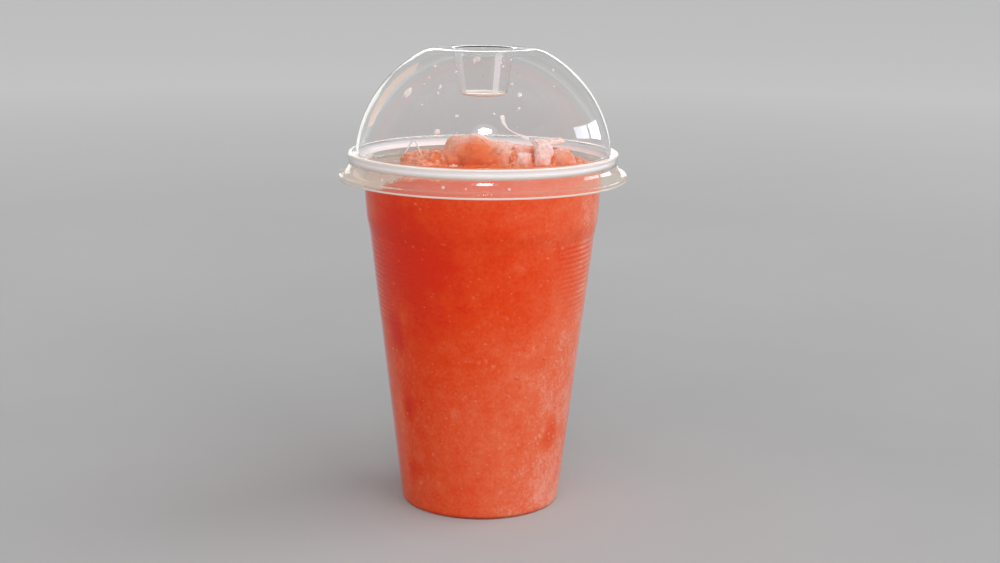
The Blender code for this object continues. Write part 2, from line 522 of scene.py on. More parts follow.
class Paint(Wiring):
    """A new material: its wiring, its Principled shader and the place on the piece."""

    def __init__(self, name: str) -> None:
        """Makes the material.

        Args:
            name: Its name.
        """
        self.material = bpy.data.materials.new(name)
        self.material.use_nodes = True
        super().__init__(self.material.node_tree)
        self.shader = self.tree.nodes["Principled BSDF"]
        self.place = self.add("TexCoord").outputs["Object"]

    def effect(self, kind: type[Effect], **values: object) -> Sockets:
        """The outputs of a shared effect, given its inputs by name."""
        return self.add("Group", {"node_tree": kind.group()}, Vector=self.place, **values).outputs

    def cloud(self, scale: float, detail: float, roughness: float = 0.6) -> Socket:
        """The value of a noise."""
        node = self.add("TexNoise", Vector=self.place, Scale=scale, Detail=detail, Roughness=roughness)
        return node.outputs["Fac"]

    def attribute(self, name: str) -> Socket:
        """The value of an attribute of the mesh."""
        return self.add("Attribute", {"attribute_name": name}).outputs["Fac"]

    def relief(self, height: Socket, depth: float, strength: float = 1.0) -> Socket:
        """The normal of a surface that stands out by a height."""
        return self.add("Bump", Height=height, Distance=depth, Strength=strength).outputs["Normal"]

    def let_lamps_through(self, tint: Triple) -> None:
        """Lets the lamps and the soft light of the room reach what stands behind a clear wall.

        Args:
            tint: What the wall takes from that light.
        """
        path = self.add("LightPath")
        clear = self.add("BsdfTransparent", Color=(*tint, 1.0))
        surface = self.shader.outputs["BSDF"]
        for ray in ("Is Shadow Ray", "Is Diffuse Ray"):
            mix = self.add("MixShader", Fac=path.outputs[ray])
            self.join(mix.inputs[1], surface)
            self.join(mix.inputs[2], clear.outputs["BSDF"])
            surface = mix.outputs["Shader"]
        self.set(self.tree.nodes["Material Output"], Surface=surface)

    def finish(self, **values: object) -> Material:
        """The material, with inputs of its shader joined by name as for set."""
        self.set(self.shader, **values)
        return self.material


# Finishes


@dataclass(frozen=True)
class Plastic:
    """Thin moulded plastic: clear, or milky where it is rolled thick, cut or misted, and where it carries
    painted shade, reflections and highlight lines.
    """

    name: str
    tint: Triple = (0.985, 0.99, 0.985)
    clearness: float = 1.0
    ior: float = 1.5
    smooth: float = 0.0
    hazy: float = 0.06
    wave_scale: float = 90.0
    wave_depth: float = 0.0
    painted_tints_by_height: tuple[tuple[float, Triple], ...] = ()

    def build(self) -> Material:
        """Makes the material.

        Returns:
            The material.
        """
        paint = Paint(self.name)
        paint.let_lamps_through(self.tint)
        film = paint.effect(MouldedFilm, Wave_Scale=self.wave_scale)
        paint.finish(Base_Color=(*self.tint, 1.0), IOR=self.ior, Transmission_Weight=self.clearness)
        # A tint by height is painted shade: on the rolled rim it paints the top of the curl grey.
        if self.painted_tints_by_height:
            low, high = self.painted_tints_by_height[0][0], self.painted_tints_by_height[-1][0]
            height = paint.add("SeparateXYZ", Vector=paint.place).outputs["Z"]
            stops = [((at - low) / (high - low), tint) for at, tint in self.painted_tints_by_height]
            paint.finish(Base_Color=paint.ramp(paint.stretch(height, low, high, 0.0, 1.0), stops))
        if self.wave_depth:
            paint.finish(Normal=paint.relief(film["Height"], self.wave_depth))
        return paint.finish(Roughness=paint.stretch(film["Haze"], 0.0, 1.0, self.smooth, self.hazy))


@dataclass(frozen=True)
class WallSlush:
    """The slush as it lies against the cup's wall: deeper high up and paler low down, with painted shade on
    the left, painted light on the right and painted reflections at both edges.
    """

    name: str
    glow: float = 0.35
    shades: tuple[Triple, ...] = (
        (0.80, 0.027, 0.002),
        (0.85, 0.062, 0.004),
        (0.88, 0.110, 0.033),
        (0.90, 0.170, 0.074),
        (0.94, 0.350, 0.255),
    )
    ice: Triple = (0.96, 0.42, 0.26)
    pit: Triple = (0.70, 0.022, 0.004)
    height: float = 0.1278
    tone_by_height: tuple[Pair, ...] = (
        (0.0, 0.60),
        (0.010, 0.55),
        (0.035, 0.52),
        (0.063, 0.42),
        (0.076, 0.27),
        (0.090, 0.16),
        (0.105, 0.24),
        (0.116, 0.36),
    )
    clouds: tuple[Triple, ...] = ((48.0, 2.0, 0.46), (210.0, 3.0, 0.48), (900.0, 2.0, 0.52))
    foot_radius: float = 0.02875
    taper: float = 0.1164
    # Painted light and shade: the tone leans paler towards +X and deeper towards -X, as if lit from the
    # right.
    painted_side_light: float = 0.30
    # Painted reflections: the edges are painted paler, most on the right, and so are upright bands low at
    # both sides, set by the band fields below.
    painted_edge_reflection: Pair = (0.19, 0.13)
    palest: float = 0.84
    band_inner: float = 0.66
    band_outer: float = 0.88
    painted_band_reflection: float = 0.20
    band_top: float = 0.078
    band_full: float = 0.052

    def build(self) -> Material:
        """Makes the material. The slush has a shade attribute, and a chip of ice a frost attribute.

        Returns:
            The material.
        """
        paint = Paint(self.name)
        tone = self.tone(paint)
        last = len(self.shades) - 1
        colour = paint.ramp(tone, [(number / last, shade) for number, shade in enumerate(self.shades)])
        crowd = paint.stretch(tone, 0.1, 0.8, 0.03, 0.34)
        coarse = self.specks(paint, 0.30, Scale=430.0, Share=crowd, Softness=0.42)
        fine = self.specks(paint, 0.36, Scale=850.0, Share=crowd, Softness=0.42)
        pits = self.specks(paint, 0.34, Scale=510.0, Share=0.09, Softness=0.40)
        pale = paint.math("MAXIMUM", paint.math("MAXIMUM", coarse, fine), paint.attribute("frost"))
        grain = paint.effect(FrostGrain, Scale=800.0)
        return paint.finish(
            Base_Color=paint.blend(pale, paint.blend(pits, colour, self.pit), self.ice),
            Roughness=paint.stretch(grain["Tone"], 0.3, 0.7, 0.42, 0.62),
            Normal=paint.relief(grain["Height"], 0.00025, 0.5),
            Specular_IOR_Level=0.05,
            Subsurface_Weight=self.glow,
            Subsurface_Radius=(1.0, 0.30, 0.16),
            Subsurface_Scale=0.0022,
        )

    def specks(self, paint: Paint, weight: float, **values: object) -> Socket:
        """How much of the specks' colour shows, given the effect's inputs by name."""
        return paint.math("MULTIPLY", paint.effect(IceSpecks, **values)["Mask"], weight)

    def tone(self, paint: Paint) -> Socket:
        """How pale the slush is: by height; by side, with painted light on the right and painted shade on the
        left; with pale edges and paler bands low at both sides, which are painted reflections; with the shade
        attribute; and uneven.

        Args:
            paint: The material.

        Returns:
            The tone, from 0 for the deepest to 1 for the palest.
        """
        axes = paint.add("SeparateXYZ", Vector=paint.place).outputs
        stops = [(at / self.height, (tone, tone, tone)) for at, tone in self.tone_by_height]
        tone = paint.ramp(paint.math("DIVIDE", axes["Z"], self.height), stops)
        radius = paint.math("MULTIPLY_ADD", axes["Z"], self.taper, self.foot_radius)
        across = paint.math("DIVIDE", axes["X"], radius)
        edge = paint.math("MULTIPLY_ADD", across, self.painted_edge_reflection[1], self.painted_edge_reflection[0])
        rim = paint.math("MULTIPLY", paint.math("POWER", across, 4.0), edge)
        ragged = paint.stretch(paint.cloud(130.0, 2.0, 0.5), 0.3, 0.7, -0.07, 0.07)
        side = paint.math("ADD", paint.math("ABSOLUTE", across), ragged)
        band = paint.stretch(side, self.band_inner, self.band_outer, 0.0, self.painted_band_reflection)
        low = paint.stretch(axes["Z"], self.band_full, self.band_top, 1.0, 0.0)
        # Adds the painted light and shade across the drink, the painted edge and band reflections, and the
        # shade attribute.
        for part in (
            paint.math("MULTIPLY_ADD", across, self.painted_side_light, rim),
            paint.math("MULTIPLY", band, low),
            paint.attribute("shade"),
        ):
            tone = paint.math("ADD", tone, part)
        tone = paint.math("MINIMUM", tone, self.palest)
        for scale, detail, swing in self.clouds:
            centred = paint.math("SUBTRACT", paint.cloud(scale, detail), 0.5)
            tone = paint.math("MULTIPLY_ADD", centred, swing, tone)
        return paint.math("ADD", tone, 0.0, clamp=True)


@dataclass(frozen=True)
class HeapSlush:
    """The slush that lies free under the dome, wetter and more translucent."""

    name: str
    syrup: Triple = (0.72, 0.090, 0.012)
    slush: Triple = (0.76, 0.180, 0.062)
    snow: Triple = (0.86, 0.400, 0.290)
    rime: Triple = (0.97, 0.720, 0.690)
    wet: float = 0.18
    dry: float = 0.45
    glow: float = 0.35

    def build(self) -> Material:
        """Makes the material. The mesh's own frost attribute says where the ice lies dry and pale.

        Returns:
            The material.
        """
        paint = Paint(self.name)
        frost = paint.attribute("frost")
        grain = paint.effect(FrostGrain, Scale=1100.0, Crystals=0.6)
        tone = paint.math("ADD", frost, paint.stretch(grain["Tone"], 0.3, 0.7, -0.07, 0.07), clamp=True)
        stops = ((0.0, self.syrup), (0.35, self.slush), (0.70, self.snow), (1.0, self.rime))
        rise = paint.math("MULTIPLY", grain["Height"], paint.stretch(frost, 0.1, 0.7, 0.15, 0.8))
        return paint.finish(
            Base_Color=paint.ramp(tone, stops),
            Roughness=paint.stretch(tone, 0.1, 0.8, self.wet, self.dry),
            Normal=paint.relief(rise, 0.00022),
            IOR=1.33,
            Subsurface_Weight=self.glow,
            Subsurface_Radius=(1.0, 0.32, 0.18),
            Subsurface_Scale=0.0018,
        )


@dataclass(frozen=True)
class StudioPaper:
    """The pale grey floor, painted lighter away from the drink: painted light on the far floor."""

    name: str
    near: Triple = (0.385, 0.385, 0.387)
    mottled: Triple = (0.425, 0.424, 0.426)
    # Painted light: the far floor is painted this paler grey.
    far: Triple = (0.680, 0.679, 0.681)
    fade_start: float = 0.20
    fade_end: float = 1.60

    def build(self) -> Material:
        """Makes the material.

        Returns:
            The material.
        """
        paint = Paint(self.name)
        plain = paint.blend(paint.stretch(paint.cloud(3.0, 5.0), 0.3, 0.7, 0.0, 1.0), self.near, self.mottled)
        reach = paint.add("VectorMath", {"operation": "LENGTH"}, Vector=paint.place).outputs["Value"]
        fade = paint.stretch(reach, self.fade_start, self.fade_end, 0.0, 1.0)
        colour = paint.blend(fade, plain, self.far)
        return paint.finish(Base_Color=colour, Roughness=0.85, Specular_IOR_Level=0.2)


# The drink


@dataclass
class ClearCup:
    """The tapered cup: one wall with a rolled rim, a ribbed grip and a raised floor."""

    height: float = 0.1278
    wall: float = 0.0006
    foot_radius: float = 0.02875
    taper: float = 0.1164
    foot_rounding: float = 0.0013
    ring_radius: float = 0.0250
    floor_radius: float = 0.0234
    floor_height: float = 0.0032
    floor_crown: float = 0.0004
    floor_rounding: float = 0.0008
    ribs: int = 16
    ribs_bottom: float = 0.0705
    ribs_top: float = 0.0994
    rib_proud: float = 0.00009
    rib_sunk: float = 0.00014
    rib_steps: int = 8
    band_bottom: Pair = (0.0415, 0.1050)
    band_middle: Pair = (0.0422, 0.1139)
    band_top: Pair = (0.0432, 0.1241)
    band_rounding: float = 0.0012
    curl_centre_radius: float = 0.0459
    curl_radius: float = 0.0015
    curl_end_deg: float = -140.0
    curl_steps: tuple[int, int] = (28, 20)

    def cone_radius(self, height: float) -> float:
        """The outer radius of the cone at a height."""
        return self.foot_radius + self.taper * height

    def band_corners(self) -> Outline:
        """The corners of the plain band above the ribs, from its foot up."""
        ribs_end = (self.cone_radius(self.ribs_top), self.ribs_top)
        return [ribs_end, self.band_bottom, self.band_middle, self.band_top]

    def wall_radius(self, height: float) -> float:
        """The outer radius of the wall at a height, from the foot to the rim's curl.

        Args:
            height: The height.

        Returns:
            The radius, without the ribs.
        """
        if height <= self.ribs_top:
            return self.cone_radius(height)
        return read_off([(level, radius) for radius, level in self.band_corners()], height)

    def band_outline(self, inset: float) -> Outline:
        """The plain band above the ribs, from the top down.

        Args:
            inset: How far it is drawn in.

        Returns:
            The outline.
        """
        top, middle, bottom, ribs_end = self.band_corners()[::-1]
        bends = [(*corner, self.band_rounding, 3) for corner in (middle, bottom)]
        return [(radius - inset, height) for radius, height in rounded([top, *bends, ribs_end])]

    def rib_outline(self, inset: float, share: float = 1.0) -> Outline:
        """The waves of the ribbed grip, from the top down.

        Args:
            inset: How far they are drawn in.
            share: How much of their swing is left.

        Returns:
            The outline.
        """
        middle = (self.rib_proud - self.rib_sunk) / 2 * share - inset
        swing = (self.rib_proud + self.rib_sunk) / 2 * share
        steps = self.ribs * self.rib_steps
        points = []
        for step in range(1, steps):
            height = self.ribs_top - (self.ribs_top - self.ribs_bottom) * step / steps
            wave = math.sin(math.tau * step / self.rib_steps)
            points.append((self.cone_radius(height) + middle + swing * wave, height))
        return points

    def foot_outline(self, inset: float) -> Outline:
        """The cone's end, the rounded foot and the raised floor, from the ribs to the axis.

        Args:
            inset: How far it is drawn in.

        Returns:
            The outline.
        """
        corners = [
            (self.cone_radius(self.ribs_bottom) - inset, self.ribs_bottom),
            (self.cone_radius(inset) - inset, inset, self.foot_rounding, 6),
            (self.ring_radius + inset / 2, inset, self.floor_rounding, 4),
            (self.floor_radius + inset, self.floor_height + inset, self.floor_rounding, 4),
            (0.0, self.floor_height + self.floor_crown + inset),
        ]
        return rounded(corners)

    def outline(self) -> Outline:
        """The whole cut through the cup, from the floor's inside over the rim to its underside.

        Returns:
            The outline.
        """
        centre = (self.curl_centre_radius, self.height - self.curl_radius)
        inside = self.foot_outline(self.wall)[::-1] + self.band_outline(self.wall)[::-1]
        out_steps, back_steps = self.curl_steps
        curl = arc(centre, self.curl_radius, 180, self.curl_end_deg, out_steps)
        curl += arc(centre, self.curl_radius - self.wall, self.curl_end_deg, 180, back_steps)
        return inside + curl + self.band_outline(0.0) + self.rib_outline(0.0) + self.foot_outline(0.0)

    def build(self, finish: Material, rim_finish: Material) -> None:
        """Makes the cup.

        Args:
            finish: Its clear plastic.
            rim_finish: The milky plastic of its rolled rim, with painted shade by height.
        """
        piece = settle(as_object("cup_shell", spun(self.outline())), finish, "clear_cup", "cup")
        curl_inside = self.curl_centre_radius - self.curl_radius
        curl_bottom = self.height - 2 * self.curl_radius
        add_finish(piece, rim_finish, lambda spot: spot.xy.length > curl_inside and spot.z > curl_bottom)


class Surface(Enum):
    """What a drop of water hangs on."""

    DOME = "dome"
    WELL = "well"
    COLLAR = "collar"


@dataclass
class DomeLid:
    """The domed lid: flat top with a straw well, ledge, collar with its groove, and flared skirt."""

    wall: float = 0.0005
    arc_centre: Pair = (0.00186, 0.1248)
    arc_radius: float = 0.04394
    arc_start_deg: float = 65.0
    arc_end_deg: float = 6.2
    arc_steps: int = 44
    top: float = 0.1651
    flat_radius: float = 0.0164
    flat_rounding: float = 0.0006
    shoulder: Pair = (0.0186, 0.1650)
    shoulder_rounding: float = 0.0008
    well_top_radius: float = 0.0103
    well_floor_radius: float = 0.0079
    well_depth: float = 0.0160
    well_rounding: float = 0.0009
    foot_fillet: float = 0.0004
    ledge_top: float = 0.1286
    collar_radius: float = 0.0482
    collar_rounding: float = 0.0006
    groove_depth: float = 0.0004
    groove_height: float = 0.1248
    groove_mouth: float = 0.0008
    groove_rounding: float = 0.0005
    groove_edge_rounding: float = 0.0004
    flare_top: float = 0.1238
    flare_waist: Pair = (0.0489, 0.1221)
    flare_rounding: float = 0.0014
    lip_rounding: float = 0.0008
    skirt_radius: float = 0.0514
    skirt_top: float = 0.1211
    skirt_bottom: float = 0.1191
    trim_height: float = 0.0006
    bend_radius: float = 0.0468
    bend_height: float = 0.1281
    mist_top: float = 0.1254
    # Bearings of the well's hazy bands, which are painted reflections.
    painted_well_reflection_deg: tuple[Pair, ...] = ((-90.0, -46.0), (22.0, 38.0))
    well_rim_height: float = 0.0005
    well_rim_radius: float = 0.0073

    def spot_on(self, surface: Surface, bearing_deg: float, height: float) -> tuple[Vector, Vector]:
        """A place on the lid, where water hangs.

        Args:
            surface: Which of its surfaces: the outside of the dome or of the flare, or the well's inside.
            bearing_deg: Its bearing round the axis.
            height: Its height.

        Returns:
            The point and the normal there.
        """
        bearing = math.radians(bearing_deg)
        if surface is Surface.WELL:
            share = (self.top - height) / self.well_depth
            reach = self.well_top_radius + (self.well_floor_radius - self.well_top_radius) * share
            normal = around(bearing, -1.0, (self.well_top_radius - self.well_floor_radius) / self.well_depth)
        elif surface is Surface.COLLAR:
            low_radius, low = self.flare_waist
            slope = (low_radius - self.collar_radius) / (self.flare_top - low)
            reach = low_radius - slope * (height - low)
            normal = around(bearing, 1.0, slope)
        else:
            rise = height - self.arc_centre[1]
            span = math.sqrt(self.arc_radius**2 - rise**2)
            reach = self.arc_centre[0] + span
            normal = around(bearing, span, rise)
        return around(bearing, reach, height), normal.normalized()

    def outline(self) -> Outline:
        """The cut through the lid, from the well's middle over the dome to the skirt's edge.

        Returns:
            The outline.
        """
        floor = self.top - self.well_depth
        dome = arc(self.arc_centre, self.arc_radius, self.arc_start_deg, self.arc_end_deg, self.arc_steps)
        collar = self.collar_radius
        corners = [
            (0.0, floor),
            (self.well_floor_radius * 0.5, floor),
            (self.well_floor_radius, floor, self.well_rounding, 5),
            (self.well_top_radius, self.top, self.well_rounding, 5),
            (self.flat_radius, self.top, self.flat_rounding, 3),
            (*self.shoulder, self.shoulder_rounding, 4),
            *dome[1:],
            (dome[-1][0], self.ledge_top, self.foot_fillet, 3),
            (collar, self.ledge_top, self.collar_rounding, 5),
            (collar, self.groove_height + self.groove_mouth, self.groove_edge_rounding, 3),
            (collar - self.groove_depth, self.groove_height, self.groove_rounding, 4),
            (collar, self.flare_top, self.groove_edge_rounding, 3),
            (*self.flare_waist, self.flare_rounding, 5),
            (self.skirt_radius, self.skirt_top, self.lip_rounding, 5),
            (self.skirt_radius, self.skirt_bottom + self.trim_height),
            (self.skirt_radius, self.skirt_bottom),
        ]
        return rounded(corners)

    def build(self, finish: Material, well: Material, trim_and_highlight: Material, mist: Material) -> None:
        """Makes the lid, a spun sheet that is given its thickness inwards.

        Args:
            finish: Its clear plastic.
            well: The hazy plastic of upright bands in the deep-drawn well's wall, which are painted
                reflections.
            trim_and_highlight: The whitened plastic along its trimmed edge, partly real whitening and partly
                a painted highlight line, and the painted highlight lines on its ledge's bend and at the foot
                of its well.
            mist: The misted plastic of the flare, where damp air gathers.
        """
        piece = as_object("lid_shell", spun(self.outline()))
        wall = piece.modifiers.new("wall", "SOLIDIFY")
        wall.thickness = self.wall
        wall.offset = -1.0
        wall.use_even_offset = True
        wall.use_quality_normals = True
        apply_modifiers(piece)
        settle(piece, finish, "clear_lid", "lid")
        add_finish(piece, well, self.in_painted_well_reflection)
        add_finish(piece, mist, lambda spot: spot.z < self.mist_top)
        add_finish(piece, trim_and_highlight, self.in_trim_or_highlight_line)

    def in_painted_well_reflection(self, spot: Vector) -> bool:
        """Whether a place lies in the upright hazy bands of the well's wall, which are painted reflections.

        Args:
            spot: The place.

        Returns:
            Whether it does.
        """
        bearing = math.degrees(math.atan2(spot.x, -spot.y))
        within = any(start < bearing < end for start, end in self.painted_well_reflection_deg)
        return within and spot.xy.length < self.well_top_radius + self.well_rounding

    def in_trim_or_highlight_line(self, spot: Vector) -> bool:
        """Whether a place lies on the skirt's cut edge, whose whitening is partly real and partly a painted
        highlight line, or on the ledge's bend or the foot of the well, which carry painted highlight lines.

        Args:
            spot: The place.

        Returns:
            Whether it does.
        """
        reach = spot.xy.length
        at_bend = reach > self.bend_radius and spot.z > self.bend_height
        at_cut = spot.z < self.skirt_bottom + self.trim_height or at_bend
        in_well = self.well_rim_radius < reach < self.well_top_radius
        return at_cut or (in_well and spot.z < self.top - self.well_depth + self.well_rim_height)


def streaked(point: Vector, size: Pair) -> float:
    """A noise drawn out upwards, with streaks of a width and a height."""
    width, height = size
    return noise.noise(Vector((point.x / width, point.y / width, point.z / height)))


@dataclass(frozen=True)
class Lump:
    """One lump of the heap: a ball pressed towards a block, how it lies, and how frosty it is."""

    place: Triple
    half: Triple
    squareness: float
    frost: float
    turn_deg: float = 0.0
    lean_deg: float = 0.0
    block: float = 0.86
    unevenness: float = 0.14
    grain: float = 1.7

    def add_to(self, shape: Shape, seed: int) -> None:
        """Adds the lump to its part of the heap.

        Args:
            shape: The part's bmesh.
            seed: The seed of its unevenness.
        """
        draw = random.Random(seed)
        shift = Vector((draw.uniform(0, 50), draw.uniform(0, 50), draw.uniform(0, 50)))
        pose = Matrix.Translation(self.place)
        pose @= Matrix.Rotation(math.radians(self.turn_deg), 4, "Z")
        pose @= Matrix.Rotation(math.radians(self.lean_deg), 4, "Y")
        pose @= Matrix.Diagonal((*self.half, 1.0))
        for vert in bmesh.ops.create_icosphere(shape, subdivisions=5, radius=1.0)["verts"]:
            way = vert.co.normalized()
            block = way / max(abs(way.x), abs(way.y), abs(way.z)) * self.block
            place = way.lerp(block, self.squareness)
            place *= 1.0 + self.unevenness * noise.noise(way * self.grain + shift)
            vert.co = pose @ place


@dataclass(frozen=True)
class HeapPart:
    """A piece of the heap: how it is broken up and frosted, and its lumps, seeded from a number on."""

    name: str
    seed: int
    swell: float
    grain: float
    streaks: float
    frost_rise: float
    mottling: float
    speckling: float
    voxel: float
    softening: int
    lumps: tuple[Lump, ...]
    frost: float = 0.30
    is_bank: bool = False
    base_weight: float = 0.25
    lump_weight: float = 2.5
    lump_falloff: float = 1.6
    patch_size: float = 0.0045
    fleck_size: float = 0.0016
    fleck_share: float = 0.6
    frost_streak: Pair = (0.0008, 0.005)
    streak_depth: float = 0.0014
    swell_size: float = 0.0034
    ripple_size: float = 0.0014
    ripple_share: float = 0.35
    relief_streak: Pair = (0.0009, 0.006)
    wet_grain: float = 0.3

    def frost_at(self, point: Vector, grain: float) -> float:
        """How frosty the part is at a place: that of the lumps round it.

        Args:
            point: The place.
            grain: How far the ice's grain stands out there.

        Returns:
            The frost, from 0 for wet syrup to 1 for dry rime.
        """
        total = self.base_weight
        frost = total * self.frost
        for lump in self.lumps:
            side = (point.x - lump.place[0]) / lump.half[0]
            depth = (point.y - lump.place[1]) / lump.half[1]
            rise = held((point.z - lump.place[2]) / lump.half[2], -1.0)
            weight = math.exp(-self.lump_falloff * (side * side + depth * depth)) * self.lump_weight
            total += weight
            frost += weight * (lump.frost + self.frost_rise * rise)
        frost /= total
        patch = noise.noise(point / self.patch_size)
        patch += noise.noise(point / self.fleck_size) * self.fleck_share
        streak = streaked(point, self.frost_streak) * self.streaks / self.streak_depth
        frost += patch * self.mottling + streak
        return held(frost + grain * self.speckling * (self.wet_grain + frost))

    def relief_at(self, point: Vector, frost: float, grain: float) -> float:
        """How far the surface stands out at a place: soft swells, with grains where it is frosty.

        Args:
            point: The place.
            frost: How frosty it is there.
            grain: How far the ice's grain stands out there.

        Returns:
            The height along the normal.
        """
        swell = noise.noise(point / self.swell_size) * self.swell
        ripple = noise.noise(point / self.ripple_size) * self.swell * self.ripple_share
        streak = streaked(point, self.relief_streak) * self.streaks
        return swell + ripple + streak + grain * self.grain * (self.wet_grain + frost)


BANK_LUMPS = (
    Lump((-0.0030, -0.0030, 0.1235), (0.0120, 0.0120, 0.0070), 0.10, 0.30),
    Lump((-0.0150, -0.0085, 0.1250), (0.0060, 0.0080, 0.0052), 0.15, 0.50, 12.0, -8.0),
    Lump((-0.0205, -0.0095, 0.1236), (0.0060, 0.0085, 0.0040), 0.20, 0.62, 12.0, -10.0),
    Lump((-0.0250, -0.0090, 0.1224), (0.0050, 0.0080, 0.0030), 0.15, 0.50, 20.0),
    Lump((0.0130, -0.0020, 0.1252), (0.0094, 0.0075, 0.0060), 0.30, 0.60),
    Lump((0.0165, -0.0120, 0.1248), (0.0090, 0.0064, 0.0062), 0.35, 0.36),
    Lump((0.0106, -0.0172, 0.1252), (0.0018, 0.0030, 0.0054), 0.30, 0.34),
    Lump((0.0244, -0.0162, 0.1250), (0.0022, 0.0030, 0.0048), 0.30, 0.40),
    Lump((0.0328, -0.0080, 0.1242), (0.0046, 0.0070, 0.0036), 0.20, 0.45),
    Lump((0.0250, 0.0030, 0.1244), (0.0085, 0.0085, 0.0044), 0.20, 0.55),
    Lump((0.0140, 0.0150, 0.1240), (0.0110, 0.0100, 0.0048), 0.20, 0.52),
    Lump((-0.0210, 0.0090, 0.1226), (0.0100, 0.0100, 0.0044), 0.20, 0.52),
    Lump((-0.0040, 0.0220, 0.1230), (0.0110, 0.0100, 0.0046), 0.25, 0.56),
    Lump((-0.0060, -0.0260, 0.1226), (0.0095, 0.0080, 0.0040), 0.20, 0.10),
)
SCOOP_LUMPS = (
    Lump((-0.0038, -0.0060, 0.1257), (0.0109, 0.0112, 0.0098), 0.02, 0.64),
    Lump((-0.0108, -0.0084, 0.1242), (0.0052, 0.0080, 0.0078), 0.04, 0.22),
    Lump((0.0056, -0.0068, 0.1254), (0.0082, 0.0096, 0.0081), 0.12, 0.64),
    Lump((-0.0008, -0.0144, 0.1240), (0.0076, 0.0066, 0.0068), 0.55, -0.30),
    Lump((0.0078, -0.0142, 0.1248), (0.0036, 0.0056, 0.0074), 0.35, 0.58),
)
BLOCK_LUMPS = (Lump((0.0140, -0.0160, 0.1270), (0.0034, 0.0046, 0.0038), 0.50, 0.98, 7.0, 3.0),)
SLAB_LUMPS = (Lump((0.0136, -0.0132, 0.1306), (0.0037, 0.0034, 0.0020), 0.60, 0.94, -5.0, 4.0),)
COLUMN_LUMPS = (
    Lump((0.0209, -0.0152, 0.1284), (0.0036, 0.0044, 0.0060), 0.40, 1.30, 5.0, 5.0),
    Lump((0.0228, -0.0110, 0.1334), (0.0062, 0.0036, 0.0011), 0.50, 1.50, 0.0, -3.0),
)
KNOB_LUMPS = (
    Lump((0.0282, -0.0146, 0.1262), (0.0046, 0.0048, 0.0048), 0.05, 0.52),
    Lump((0.0270, -0.0110, 0.1304), (0.0040, 0.0030, 0.0009), 0.40, 0.90, 0.0, -3.0),
)
CRUMB_LUMPS = (Lump((-0.0098, -0.0205, 0.1252), (0.0018, 0.0016, 0.0012), 0.35, 0.80, 25.0),)
HEAP = (
    HeapPart("slush_heap", 0, 0.00045, 0.00100, 0.0, 0.0, 0.14, 0.80, 0.00048, 4, BANK_LUMPS, 0.45, True),
    HeapPart("slush_scoop", 14, 0.00050, 0.00018, 0.0, 0.32, 0.03, 0.10, 0.00036, 20, SCOOP_LUMPS),
    HeapPart("ice_block", 19, 0.00024, 0.00012, 0.0, 0.10, 0.10, 0.10, 0.00025, 16, BLOCK_LUMPS),
    HeapPart("ice_slab", 20, 0.00014, 0.00012, 0.0, 0.0, 0.12, 0.12, 0.00022, 6, SLAB_LUMPS),
    HeapPart("ice_column", 21, 0.00024, 0.00018, 0.00020, 0.06, 0.12, 0.20, 0.00025, 8, COLUMN_LUMPS),
    HeapPart("slush_knob", 23, 0.00030, 0.00018, 0.0, 0.20, 0.10, 0.12, 0.00026, 16, KNOB_LUMPS),
    HeapPart("slush_crumb", 25, 0.00015, 0.00020, 0.0, 0.10, 0.10, 0.20, 0.00020, 3, CRUMB_LUMPS),
)


@dataclass(frozen=True)
class Blot:
    """A soft-edged paler or deeper place on the slush, seen through the wall."""

    bearing_deg: float
    height: float
    half_width: float
    half_height: float
    shade: float


# The pale blots at bearings -58.5, -47.0, 56.7 and 60.6 are painted reflections of light at the wall's edges.
BLOTS = (
    Blot(-55.2, 0.0671, 0.0048, 0.0085, -0.34),
    Blot(-50.1, 0.0403, 0.0042, 0.0066, -0.40),
    Blot(-51.1, 0.0153, 0.0042, 0.0062, -0.30),
    Blot(-58.5, 0.0300, 0.0040, 0.0200, 0.14),
    Blot(60.6, 0.0545, 0.0070, 0.0130, 0.20),
    Blot(55.4, 0.0299, 0.0056, 0.0084, -0.50),
    Blot(56.7, 0.0113, 0.0060, 0.0080, 0.10),
    Blot(21.2, 0.0511, 0.0120, 0.0170, 0.10),
    Blot(51.8, 0.0963, 0.0090, 0.0075, -0.12),
    Blot(-41.6, 0.1101, 0.0075, 0.0042, -0.14),
    Blot(-31.2, 0.0989, 0.0110, 0.0110, -0.10),
    Blot(-66.5, 0.1103, 0.0060, 0.0055, 0.18),
    Blot(63.8, 0.1100, 0.0070, 0.0060, 0.12),
    Blot(-47.0, 0.0722, 0.0024, 0.0085, 0.14),
    Blot(19.6, 0.0930, 0.0034, 0.0026, 0.16),
    Blot(20.2, 0.1053, 0.0024, 0.0020, 0.16),
    Blot(-15.6, 0.0403, 0.0026, 0.0026, 0.18),
    Blot(7.6, 0.0634, 0.0022, 0.0020, 0.14),
    Blot(140.0, 0.0600, 0.0120, 0.0200, 0.14),
    Blot(-150.0, 0.0820, 0.0130, 0.0120, -0.14),
    Blot(170.0, 0.0280, 0.0090, 0.0100, -0.12),
)


